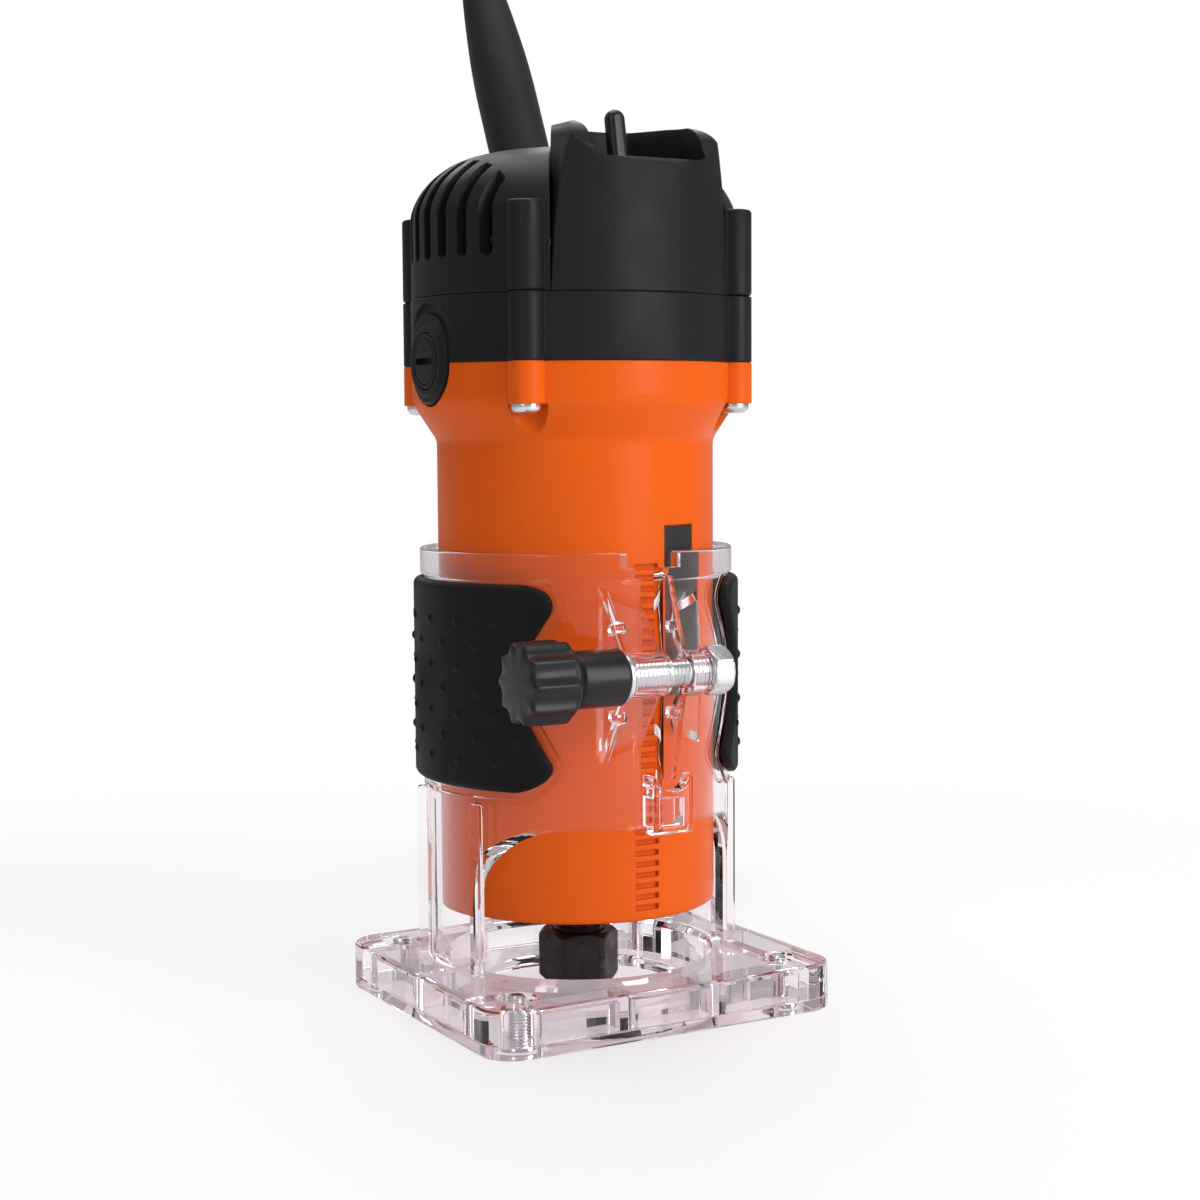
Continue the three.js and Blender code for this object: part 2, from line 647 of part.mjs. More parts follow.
// The free stretch lies in one leaning plane that holds the guard's axis and the heading.
function leadPlane() {
  const out = new THREE.Vector3(0, Math.sin(GUARD_TILT), Math.cos(GUARD_TILT));
  const along = new THREE.Vector3(Math.cos(LEAD_HEADING), Math.sin(LEAD_HEADING), 0);
  const up = out.clone().addScaledVector(along, -out.dot(along)).normalize();
  const tip = GUARD_ROOT.clone().addScaledVector(out, GUARD_LENGTH);
  return { out, along, up, tip };
}

// Straight out, over in a bend, down, and out along the floor. Each leg is a straight or an arc.
function leadLegs({ out, along, up, tip }) {
  const start = Math.atan2(out.dot(up), out.dot(along));
  const down = -Math.PI / 2 - LEAD_LEAN;
  const bendDrop = LEAD_BEND_R * (Math.cos(down) - Math.cos(start));
  const landingDrop = LEAD_BEND_R * (1 - Math.cos(down));
  const whole = (tip.z - COIL_LIFT - LEAD_R) / up.z;
  const fall = (whole + LEAD_RISE * Math.sin(start) + bendDrop - landingDrop) / Math.cos(LEAD_LEAN);
  return [
    { length: LEAD_RISE, from: start, to: start },
    { length: LEAD_BEND_R * (start - down), from: start, to: down },
    { length: fall, from: down, to: down },
    { length: -LEAD_BEND_R * down, from: down, to: 0 },
  ];
}

// Points along the legs, every step or so, as distances along and up the plane.
function leadPoints(plane, legs, step) {
  const points = [plane.tip.clone()];
  let place = plane.tip.clone();
  for (const { length, from, to } of legs) {
    const count = Math.max(2, Math.round(length / step));
    for (let k = 0; k < count; k++) {
      const heading = from + ((to - from) * (k + 0.5)) / count;
      place = place.clone()
        .addScaledVector(plane.along, (Math.cos(heading) * length) / count)
        .addScaledVector(plane.up, (Math.sin(heading) * length) / count);
      points.push(place);
    }
  }
  return points;
}

function tube(points, radius, sides, steps) {
  const section = new THREE.Shape();
  section.absarc(0, 0, radius, 0, 2 * Math.PI);
  const path = new THREE.CatmullRomCurve3(points, false, 'centripetal');
  const options = { steps, extrudePath: path, curveSegments: sides / 2, bevelEnabled: false };
  return toSolid(new THREE.ExtrudeGeometry(section, options));
}

const plane = leadPlane();
const legs = leadLegs(plane);
const freePoints = leadPoints(plane, legs, 14);
const landed = freePoints[freePoints.length - 1];
freePoints[0] = freePoints[0].clone().addScaledVector(plane.out, GAP);
addPart('cord_lead', tube(freePoints, LEAD_R, 8, 34), leadRubber);

// The stored turns lie two wide. Past the landing the lead runs straight until it joins the
// outer turn, and past the turns it curls in on top of them to the plug.
const JOIN_RUN = 23;
const freeLength = legs.reduce((sum, leg) => sum + leg.length, JOIN_RUN);
const turnsLength = LEAD_LENGTH - freeLength - Math.PI * CURL_R;
const coilR = turnsLength / (4 * Math.PI * COIL_LAYERS);
const outerTurn = coilR + LEAD_R;
const coilInside = coilR - 2 * LEAD_R;
const coilOutside = coilR + 2 * LEAD_R;
const coilTop = COIL_LIFT + 2 * COIL_LAYERS * LEAD_R;

const coil = new THREE.Group();
coil.position.copy(landed).addScaledVector(plane.along, JOIN_RUN).setZ(0);
coil.rotation.z = LEAD_HEADING - Math.PI / 2;
coil.translateX(-outerTurn);
router.add(coil);
addPart('cord_coil', ring(coilInside, coilOutside, COIL_LIFT, coilTop, 32), leadRubber, coil);

function curlPoints() {
  const centre = outerTurn - CURL_R;
  return Array.from({ length: 13 }, (_, k) => {
    const angle = (Math.PI * k) / 12;
    return new THREE.Vector3(
      centre + CURL_R * Math.cos(angle), CURL_R * Math.sin(angle), coilTop + GAP + LEAD_R);
  });
}

const curl = curlPoints();
addPart('cord_end', tube(curl, LEAD_R, 8, 14), leadRubber, coil);

const plug = new THREE.Group();
plug.position.copy(curl[curl.length - 1]);
plug.rotation.z = Math.PI;
coil.add(plug);

function plugBody() {
  const tail = new THREE.CylinderGeometry(5, 3.6, 14, 12).translate(0, 7.5 + GAP, 0);
  return toSolid(tail).add(raised(roundedRectangle(-11, 11, 13, 45, 4), -LEAD_R, 10.4, 4));
}

addPart('plug_body', plugBody(), leadRubber, plug);
[-1, 1].forEach((side, k) => {
  addPart(`plug_pin_${k + 1}`, rodAlongY(2, 45.3, 62, side * 7, 4, 12), brass, plug);
});

const tie = new THREE.Group();
tie.rotation.z = THREE.MathUtils.degToRad(-70);
coil.add(tie);
addPart('cord_tie', cut(
  block(coilInside - 1.5, coilOutside + 1, -5, 5, 0, coilTop + 0.9),
  block(coilInside - 0.9, coilOutside + 0.4, -6, 6, 0.6, coilTop + 0.3),
), rubber, tie);

export default router;
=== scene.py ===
import math

import bmesh
import bpy
import numpy as np
from bpy.props import FloatProperty, FloatVectorProperty, IntProperty, PointerProperty
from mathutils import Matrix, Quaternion, Vector


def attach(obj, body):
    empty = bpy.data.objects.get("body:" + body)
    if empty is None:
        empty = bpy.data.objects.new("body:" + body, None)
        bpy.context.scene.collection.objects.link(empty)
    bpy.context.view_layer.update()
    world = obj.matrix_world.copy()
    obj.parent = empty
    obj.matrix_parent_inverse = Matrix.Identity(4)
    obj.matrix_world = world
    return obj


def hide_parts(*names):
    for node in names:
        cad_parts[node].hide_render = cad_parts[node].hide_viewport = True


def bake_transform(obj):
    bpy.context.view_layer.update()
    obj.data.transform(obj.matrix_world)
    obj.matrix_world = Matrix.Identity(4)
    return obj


bl_info = {
    "name": "Trim Router",
    "version": (1, 0, 0),
    "blender": (4, 5, 0),
    "location": "3D View > Sidebar > Router",
    "description": "A trim router with a clear sliding base, dressed over its packed parts",
    "category": "Object",
}

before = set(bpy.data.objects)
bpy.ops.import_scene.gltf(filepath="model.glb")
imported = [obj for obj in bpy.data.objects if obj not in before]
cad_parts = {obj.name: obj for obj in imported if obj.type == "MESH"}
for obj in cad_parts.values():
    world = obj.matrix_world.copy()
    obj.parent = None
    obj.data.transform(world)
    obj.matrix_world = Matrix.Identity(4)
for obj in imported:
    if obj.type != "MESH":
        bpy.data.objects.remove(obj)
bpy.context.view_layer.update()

# Shapes are worked out in millimetres, with +Z up the spindle and -Y the front, and are
# scaled to metres when they become a piece.
MM = 0.001
TAU = 2 * math.pi

BARREL_BOTTOM = 23.5
TAPER_BOTTOM = 132.5
SHOULDER_Z = 141.0
HEAD_R = 38.0
HOUSING_TOP = 150.0
BAND_TOP = 165.0
CORNER = 27.0
HEAD_CORNERS = [(-CORNER, -CORNER), (CORNER, -CORNER), (CORNER, CORNER), (-CORNER, CORNER)]
COLUMN_R = 4.2
BRUSH_Z = 150.5
CAP_SEAT_Z = 151.0
PLATE_TURN = -72.6

BASE_HALF_X = 45.0
BASE_FRONT = -45.0
BASE_BACK = 37.0
BASE_TOP = 11.0
SOLE_THICK = 3.0
SOLE_SCREWS = [(-34.5, -34.0), (34.5, -34.0), (-34.5, 27.0), (34.5, 27.0)]
SLEEVE_IN = 32.9
SLEEVE_OUT = 36.0
SLEEVE_TOP = 107.5
PAD_LOW = 54.0
PAD_HIGH = 100.7
RIM_BOTTOM = 101.0
SLOT_LEFT = -3.5
SLOT_RIGHT = 1.8
CLAMP_Y = -45.5
CLAMP_Z = 81.5
STUD_R = 3.0

NUT_BOTTOM = 3.5
NUT_TOP = 15.5
SWITCH_Y = -23.1
SWITCH_PIVOT_Z = 185.0
LEVER_LENGTH = 22.1
LEVER_LEAN = math.radians(10.5)

GUARD_ROOT = np.array([0.0, 24.3, 197.0])
GUARD_TILT = math.radians(25)
GUARD_LENGTH = 58.0
LEAD_R = 3.1
LEAD_HEADING = math.radians(59)
LEAD_RISE = 24.3
LEAD_BEND_R = 29.0
LEAD_LEAN = math.radians(8)
JOIN_RUN = 23.0
CURL_R = 25.0
COIL_LIFT = 1.0
COIL_LAYERS = 3
COIL_TOP = COIL_LIFT + 2 * COIL_LAYERS * LEAD_R
CURL_Z = COIL_TOP + 0.3 + LEAD_R

DUST_COLOUR = (0.42, 0.36, 0.29, 1)
GLOSS_SPREAD = 0.08
EYE_SHARE_OF_MIRRORS = 0.16
SURROUNDINGS_STRENGTH = 0.28
FLOOR_FADE = (0.12, 0.45)
FLOOR_GLOW = 0.6


# ---------------------------------------------------------------- settings


class RouterSizes(bpy.types.PropertyGroup):
    """Sizes that give the router its look."""

    barrel_radius: FloatProperty(
        name="Barrel radius", description="Radius of the motor barrel",
        default=0.0325, unit="LENGTH")
    rack_pitch: FloatProperty(
        name="Rack pitch", description="Distance between the grooves of the depth rack",
        default=0.0025, unit="LENGTH")
    vent_width: FloatProperty(
        name="Vent width", description="Width of a vent slot in the head",
        default=0.0032, unit="LENGTH")
    stud_pitch: FloatProperty(
        name="Stud pitch", description="Pitch of the clamp screw's thread",
        default=0.001, unit="LENGTH")
    nub_radius: FloatProperty(
        name="Nub radius", description="Radius of a nub on the grip pads",
        default=0.00095, unit="LENGTH")
    flutes: IntProperty(
        name="Knob flutes", description="Number of flutes round the clamp knob",
        default=10, min=5, max=16)
    lead_length: FloatProperty(
        name="Lead length", description="Length of the mains lead",
        default=1.75, unit="LENGTH")


class RouterColours(bpy.types.PropertyGroup):
    """Colours of the router's finishes."""

    barrel: FloatVectorProperty(
        name="Barrel", description="Moulded colour of the motor barrel",
        subtype="COLOR", size=3, default=(0.74, 0.105, 0.006), min=0, max=1)
    head: FloatVectorProperty(
        name="Head", description="Moulded colour of the head and the knob",
        subtype="COLOR", size=3, default=(0.012, 0.011, 0.013), min=0, max=1)
    clear: FloatVectorProperty(
        name="Clear base", description="Tint of the clear base",
        subtype="COLOR", size=3, default=(0.97, 0.925, 0.95), min=0, max=1)
    rubber: FloatVectorProperty(
        name="Rubber", description="Colour of the grip pads",
        subtype="COLOR", size=3, default=(0.009, 0.009, 0.010), min=0, max=1)


# ---------------------------------------------------------------- shapes


def unit(vectors):
    """Vectors at length one."""
    return vectors / np.maximum(np.linalg.norm(vectors, axis=-1, keepdims=True), 1e-12)


def grid_faces(rows, columns, wrap_rows=False):
    """Quads joining each point of a grid to its neighbours; the columns run round and close."""
    row, column = np.meshgrid(
        np.arange(rows if wrap_rows else rows - 1), np.arange(columns), indexing="ij")
    after, beside = (row + 1) % rows, (column + 1) % columns
    corners = (row * columns + column, row * columns + beside,
               after * columns + beside, after * columns + column)
    return np.stack(corners, -1).reshape(-1, 4)


def loft(rings, closed=False):
    """Closed loops of points, one after the other, joined into a skin. Open ends get a flat cap."""
    rows, columns = rings.shape[:2]
    faces = grid_faces(rows, columns, closed).tolist()
    if not closed:
        faces.append(list(range(columns))[::-1])
        faces.append(list(range((rows - 1) * columns, rows * columns)))
    return rings.reshape(-1, 3), faces


def turned(profile, segments=96, closed=True):
    """Each (radius, height) of the profile goes round the Z axis: x = r cos a, y = r sin a."""
    profile = np.asarray(profile, float)
    angle = np.arange(segments) * TAU / segments
    radius, height = profile[:, 0, None], profile[:, 1, None]
    rings = np.stack([radius * np.cos(angle), radius * np.sin(angle),
                      height + 0 * angle], -1)
    return loft(rings, closed)


def rounded(corners, radius=0.4, steps=3, closed=True):
    """Each corner gives way to a curve between the points one radius before and after it:
    p = (1-t)^2 a + 2t(1-t) corner + t^2 b. A corner may bring its own radius as a third number."""
    corners = [tuple(c) + ((radius,) if len(c) == 2 else ()) for c in corners]
    points = np.array([c[:2] for c in corners])
    reach = np.array([c[2] for c in corners])
    before, after = np.roll(points, 1, 0), np.roll(points, -1, 0)
    to_before, to_after = before - points, after - points
    room = np.minimum(np.linalg.norm(to_before, axis=1), np.linalg.norm(to_after, axis=1)) * 0.49
    reach = np.minimum(reach, room)
    if not closed:
        reach[[0, -1]] = 0
    first = points + unit(to_before) * reach[:, None]
    last = points + unit(to_after) * reach[:, None]
    made = []
    for a, corner, b, r in zip(first, points, last, reach):
        if r < 1e-6:
            made.append(corner[None])
            continue
        t = np.linspace(0, 1, steps + 1)[:, None]
        made.append((1 - t) ** 2 * a + 2 * t * (1 - t) * corner + t ** 2 * b)
    return np.concatenate(made)


def inward(outline):
    """The inward unit normal at each point of a counter-clockwise outline."""
    along = np.roll(outline, -1, 0) - np.roll(outline, 1, 0)
    return unit(np.stack([-along[:, 1], along[:, 0]], -1))


def anticlockwise(outline):
    """The outline, turned round if its shoelace area is negative."""
    x, y = outline[:, 0], outline[:, 1]
    area = np.sum(x * np.roll(y, -1) - y * np.roll(x, -1))
    return outline if area > 0 else outline[::-1]


def slab(outline, levels):
    """The outline at each (height, inset), moved in along its normals by the inset."""
    outline = anticlockwise(np.asarray(outline, float))
    normal = inward(outline)
    rings = [np.column_stack([outline + normal * inset, np.full(len(outline), height)])
             for height, inset in levels]
    return loft(np.array(rings))


def soft(z0, z1, low=0.4, high=0.4, steps=3):
    """Levels of a slab whose two edges are quarter rounds: at a distance r (1 - cos a) from
    the end the inset is r (1 - sin a). An edge of nothing stays sharp."""
    quarter = np.linspace(0, math.pi / 2, steps + 1)

    def edge(end, inward_sign, r, angles):
        if not r:
            return [(end, 0)]
        return [(end + inward_sign * r * (1 - math.cos(a)), r * (1 - math.sin(a))) for a in angles]

    return edge(z0, 1, low, quarter) + edge(z1, -1, high, quarter[::-1])


def arc(cx, cy, radius, start, end, steps):
    """Points on a circle from one angle to the other, in degrees."""
    a = np.radians(np.linspace(start, end, steps + 1))
    return np.column_stack([cx + radius * np.cos(a), cy + radius * np.sin(a)])


def rounded_box(x0, x1, y0, y1, radius, steps=8):
    """A rectangle whose four corners are quarter circles."""
    return np.concatenate([
        arc(x1 - radius, y0 + radius, radius, -90, 0, steps),
        arc(x1 - radius, y1 - radius, radius, 0, 90, steps),
        arc(x0 + radius, y1 - radius, radius, 90, 180, steps),
        arc(x0 + radius, y0 + radius, radius, 180, 270, steps)])


def circle(radius, x=0.0, y=0.0, segments=48):
    """A full circle of points."""
    return arc(x, y, radius, 0, 360 - 360 / segments, segments - 1)


def sector(inner, outer, middle, half, steps=24):
    """Part of a flat ring about a direction in degrees."""
    return np.concatenate([arc(0, 0, outer, middle - half, middle + half, steps),
                           arc(0, 0, inner, middle + half, middle - half, steps)])


def rod(radius, z0, z1, x=0.0, y=0.0, segments=32, edge=0.0):
    """A round bar along Z, with rounded ends where an edge is given."""
    return slab(circle(radius, x, y, segments), soft(z0, z1, edge, edge))


def block(x0, x1, y0, y1, z0, z1, edge=0.0, corner=0.0):
    """A box with its sides along the axes, its corners and edges rounded if asked."""
    outline = rounded_box(x0, x1, y0, y1, corner, 4) if corner else [
        (x0, y0), (x1, y0), (x1, y1), (x0, y1)]
    return slab(outline, soft(z0, z1, edge, edge))


def along_x(solid, y=0.0, z=0.0):
    """A solid modelled along Z, laid with its length along X: x = z', y = x', z = y'."""
    points, faces = solid
    return points[:, [2, 0, 1]] + np.array([0, y, z]), faces


def along_y(solid, x=0.0, z=0.0):
    """A solid modelled along Z, laid with its length along Y: x = y', y = z', z = x'."""
    points, faces = solid
    return points[:, [1, 2, 0]] + np.array([x, 0, z]), faces


def moved(solid, x=0.0, y=0.0, z=0.0):
    """The solid, shifted."""
    points, faces = solid
    return points + np.array([x, y, z]), faces


def spun(solid, degrees):
    """The solid, turned about the Z axis."""
    points, faces = solid
    a = math.radians(degrees)
    turn = np.array([[math.cos(a), math.sin(a), 0], [-math.sin(a), math.cos(a), 0], [0, 0, 1]])
    return points @ turn, faces


def tilted(solid, angle, origin):
    """The solid, leant about the X axis so that its top moves back, then set on an origin."""
    points, faces = solid
    c, s = math.cos(angle), math.sin(angle)
    turn = np.array([[1, 0, 0], [0, c, -s], [0, s, c]])
    return points @ turn + origin, faces


def stood_up(solid):
    """A slab stood up to face the front: its outline in X and Z, its height along -Y."""
    points, faces = solid
    return points[:, [0, 2, 1]] * [1, -1, 1], faces


def volume(mesh):
    """Signed volume of a closed mesh, from the triangles' scalar triple products."""
    mesh.calc_loop_triangles()
    points = np.empty(len(mesh.vertices) * 3)
    mesh.vertices.foreach_get("co", points)
    corners = np.empty(len(mesh.loop_triangles) * 3, np.int64)
    mesh.loop_triangles.foreach_get("vertices", corners)
    a, b, c = np.moveaxis(points.reshape(-1, 3)[corners.reshape(-1, 3)], 1, 0)
    return float(np.sum(a * np.cross(b, c))) / 6


def as_mesh(solid, name="shape"):
    """The solid as a mesh in millimetres: poles merged, faces outward."""
    if isinstance(solid, bpy.types.Mesh):
        return solid
    points, faces = solid
    mesh = bpy.data.meshes.new(name)
    mesh.from_pydata(np.asarray(points, float).tolist(), [], [list(f) for f in faces])
    shape = bmesh.new()
    shape.from_mesh(mesh)
    bmesh.ops.remove_doubles(shape, verts=shape.verts, dist=1e-4)
    shape.to_mesh(mesh)
    shape.free()
    if volume(mesh) < 0:
        mesh.flip_normals()
    return mesh


def carved(base, joins=(), keeps=(), cuts=()):
    """The base joined with some solids, kept inside others and cut by the rest."""
    body = bpy.data.objects.new("blank", as_mesh(base))
    bpy.context.scene.collection.objects.link(body)
    tools = []
    for operation, solids in (("UNION", joins), ("INTERSECT", keeps), ("DIFFERENCE", cuts)):
        for solid in solids:
            tool = bpy.data.objects.new("tool", as_mesh(solid))
            bpy.context.scene.collection.objects.link(tool)
            tools.append(tool)
            step = body.modifiers.new("step", "BOOLEAN")
            step.operation, step.object, step.solver = operation, tool, "MANIFOLD"
    depsgraph = bpy.context.evaluated_depsgraph_get()
    mesh = bpy.data.meshes.new_from_object(body.evaluated_get(depsgraph))
    for used in [body, *tools]:
        bpy.data.objects.remove(used)
    if not len(mesh.polygons):
        raise RuntimeError("a carving left nothing")
    return mesh


def piece(name, solid, body, material, replaces=(), angle=34, weighted=True):
    """A finished piece: scaled to metres, smooth up to the given angle, and riding on its body."""
    mesh = as_mesh(solid, name)
    mesh.name = name
    points = np.empty(len(mesh.vertices) * 3, np.float32)
    mesh.vertices.foreach_get("co", points)
    mesh.vertices.foreach_set("co", points * MM)
    mesh.materials.clear()
    mesh.materials.append(material)
    mesh.shade_smooth()
    mesh.set_sharp_from_angle(angle=math.radians(angle))
    made = bpy.data.objects.new(name, mesh)
    bpy.context.scene.collection.objects.link(made)
    if weighted:
        even = made.modifiers.new("Even shading", "WEIGHTED_NORMAL")
        even.keep_sharp = True
        even.weight = 60
    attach(made, body)
    if replaces:
        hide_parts(*replaces)
    return made


# ---------------------------------------------------------------- finishes


class Nodes:
    """A small hand for building node trees."""

    def __init__(self, tree):
        self.tree = tree

    def add(self, kind, **settings):
        node = self.tree.nodes.new("ShaderNode" + kind)
        for key, value in settings.items():
            setattr(node, key, value)
        return node

    def join(self, source, target):
        self.tree.links.new(source, target)

    def feed(self, socket, value):
        if isinstance(value, bpy.types.NodeSocket):
            self.join(value, socket)
        elif value is not None:
            socket.default_value = value

    def maths(self, operation, first, second=None):
        node = self.add("Math", operation=operation)
        self.feed(node.inputs[0], first)
        self.feed(node.inputs[1], second)
        return node.outputs[0]

    def ramp(self, value, low, high, to_low=0.0, to_high=1.0):
        node = self.add("MapRange", clamp=True, interpolation_type="SMOOTHSTEP")
        for socket, given in zip(node.inputs[:5], (value, low, high, to_low, to_high)):
            self.feed(socket, given)
        return node.outputs[0]

    def noise(self, scale, detail=2.0, vector=None, rough=0.5):
        node = self.add("TexNoise")
        self.feed(node.inputs["Scale"], scale)
        self.feed(node.inputs["Detail"], detail)
        self.feed(node.inputs["Roughness"], rough)
        self.feed(node.inputs["Vector"], vector)
        return node.outputs["Fac"]

    def blend(self, share, first, second):
        node = self.add("Mix", data_type="RGBA")
        self.feed(node.inputs["Factor"], share)
        self.feed(node.inputs["A"], first)
        self.feed(node.inputs["B"], second)
        return node.outputs["Result"]

    def place(self, scale=(1, 1, 1), turn=(0, 0, 0)):
        """Object coordinates, stretched and turned."""
        node = self.add("Mapping")
        self.join(self.add("TexCoord").outputs["Object"], node.inputs["Vector"])
        node.inputs["Scale"].default_value = scale
        node.inputs["Rotation"].default_value = turn
        return node.outputs["Vector"]


def effect(name, inputs, outputs, build):
    """A shader node group with named sockets, built once."""
    tree = bpy.data.node_groups.new(name, "ShaderNodeTree")
    for label, default in inputs:
        kind = "NodeSocketVector" if isinstance(default, tuple) else "NodeSocketFloat"
        socket = tree.interface.new_socket(label, in_out="INPUT", socket_type=kind)
        socket.default_value = default
    for label, kind in outputs:
        tree.interface.new_socket(label, in_out="OUTPUT", socket_type="NodeSocket" + kind)
    nodes = Nodes(tree)
    given = tree.nodes.new("NodeGroupInput")
    made = tree.nodes.new("NodeGroupOutput")
    for label, value in build(nodes, given.outputs).items():
        nodes.join(value, made.inputs[label])
    return tree


def moulded_skin(nodes, given):
    """Spark-eroded mould skin: fine grain for the bump and a slow mottle for colour and gloss."""
    where = nodes.place()
    fine = nodes.noise(given["Grain"], 3.0, where)
    slow = nodes.noise(nodes.maths("MULTIPLY", given["Grain"], 0.018), 2.0, where)
    return {"Height": fine, "Mottle": nodes.ramp(slow, 0.3, 0.7)}


def soft_edge(nodes, given):
    """Rounds the shading over each edge, and marks the edges where the skin rubs away."""
    bevel = nodes.add("Bevel", samples=4)
    nodes.join(given["Radius"], bevel.inputs["Radius"])
    dot = nodes.add("VectorMath", operation="DOT_PRODUCT")
    nodes.join(bevel.outputs[0], dot.inputs[0])
    nodes.join(nodes.add("NewGeometry").outputs["Normal"], dot.inputs[1])
    bent = nodes.ramp(dot.outputs["Value"], 0.995, 0.8)
    patchy = nodes.ramp(nodes.noise(420.0, 3.0, nodes.place()), 0.42, 0.68)
    return {"Normal": bevel.outputs[0], "Wear": nodes.maths("MULTIPLY", bent, patchy)}


def settled_dust(nodes, given):
    """Dust that lies where the surface looks up, in drifts."""
    normal = nodes.add("SeparateXYZ")
    nodes.join(nodes.add("NewGeometry").outputs["Normal"], normal.inputs[0])
    facing = nodes.ramp(normal.outputs["Z"], 0.35, 1.0)
    drift = nodes.ramp(nodes.noise(260.0, 4.0, nodes.place(), 0.6), 0.35, 0.8)
    return {"Dust": nodes.maths("MULTIPLY", nodes.maths("MULTIPLY", facing, drift), given["Amount"])}


def tool_marks(nodes, given):
    """Fine rings and hairlines left by turning or rolling, drawn out across one direction."""
    where = nodes.add("VectorMath", operation="MULTIPLY")
    nodes.join(nodes.add("TexCoord").outputs["Object"], where.inputs[0])
    nodes.join(given["Stretch"], where.inputs[1])
    lines = nodes.noise(1.0, 4.0, where.outputs[0], 0.6)
    cloud = nodes.noise(180.0, 2.0, nodes.place())
    return {"Height": lines, "Mottle": nodes.ramp(cloud, 0.3, 0.7)}


def hand_smears(nodes, given):
    """Faint finger marks and moulding flow, as slow bands of duller gloss."""
    where = nodes.place((1, 1, 0.45), (0.3, 0.2, 0.5))
    bands = nodes.noise(given["Size"], 3.0, where, 0.55)
    ripple = nodes.noise(nodes.maths("MULTIPLY", given["Size"], 1.9), 1.0, where)
    return {"Smear": nodes.ramp(bands, 0.48, 0.75), "Height": ripple}


EFFECTS = {
    "Moulded skin": (moulded_skin, [("Grain", 1600.0)], [("Height", "Float"), ("Mottle", "Float")]),
    "Soft edge": (soft_edge, [("Radius", 0.0004)], [("Normal", "Vector"), ("Wear", "Float")]),
    "Settled dust": (settled_dust, [("Amount", 0.3)], [("Dust", "Float")]),
    "Tool marks": (tool_marks, [("Stretch", (300.0, 300.0, 9000.0))],
                   [("Height", "Float"), ("Mottle", "Float")]),
    "Hand smears": (hand_smears, [("Size", 90.0)], [("Smear", "Float"), ("Height", "Float")]),
}


def placed_effect(nodes, name, **values):
    """An effect group in a material, made on first use, with this material's own values."""
    build, inputs, outputs = EFFECTS[name]
    tree = bpy.data.node_groups.get(name) or effect(name, inputs, outputs, build)
    node = nodes.add("Group", node_tree=tree)
    for key, value in values.items():
        node.inputs[key].default_value = value
    return node.outputs


def rgb(colour, by=1.0):
    """A colour socket's four numbers, brightened or darkened."""
    return (*(min(1.0, c * by) for c in colour), 1.0)


def blank_material(name):
    """A material with one Principled shader, its nodes' helper and the socket of its surface.
    A material that is already made comes back with no helper."""
    material = bpy.data.materials.get(name)
    if material:
        return material, None, None, None
    material = bpy.data.materials.new(name)
    material.use_nodes = True
    material.node_tree.nodes.clear()
    nodes = Nodes(material.node_tree)
    shader = nodes.add("BsdfPrincipled")
    surface = nodes.add("OutputMaterial").inputs[0]
    nodes.join(shader.outputs[0], surface)
    return material, nodes, shader, surface


def set_plain(shader, **values):
    """Constants, set straight on the shader's sockets."""
    for key, value in values.items():
        shader.inputs[key.replace("_", " ")].default_value = value


def skin_material(name, colour, roughness, grain=1600.0, depth=0.00003, edge=0.0004,
                  metallic=0.0, marks=None, wear=0.25, worn=None, dust=0.12, shade=0.86,
                  specular=0.5):
    """A solid finish: mottled colour, fine bump, softened and rubbed edges, a little dust."""
    material, nodes, shader, _ = blank_material(name)
    if nodes is None:
        return material
    skin = (placed_effect(nodes, "Tool marks", Stretch=marks) if marks
            else placed_effect(nodes, "Moulded skin", Grain=grain))
    tint = nodes.blend(skin["Mottle"], rgb(colour, shade), rgb(colour))
    normal = None
    if edge:
        rim = placed_effect(nodes, "Soft edge", Radius=edge)
        normal = rim["Normal"]
        rubbed = rgb(worn) if worn else rgb(colour, 1.35)
        tint = nodes.blend(nodes.maths("MULTIPLY", rim["Wear"], wear), tint, rubbed)
    if dust:
        drift = placed_effect(nodes, "Settled dust", Amount=dust)["Dust"]
        tint = nodes.blend(drift, tint, DUST_COLOUR)
    nodes.join(tint, shader.inputs["Base Color"])
    gloss = nodes.ramp(skin["Mottle"], 0, 1, roughness + GLOSS_SPREAD, roughness - GLOSS_SPREAD)
    nodes.join(gloss, shader.inputs["Roughness"])
    bump = nodes.add("Bump")
    bump.inputs["Strength"].default_value = 1.0
    bump.inputs["Distance"].default_value = depth
    nodes.join(skin["Height"], bump.inputs["Height"])
    if normal:
        nodes.join(normal, bump.inputs["Normal"])
    nodes.join(bump.outputs[0], shader.inputs["Normal"])
    set_plain(shader, Metallic=metallic, Specular_IOR_Level=specular)
    return material


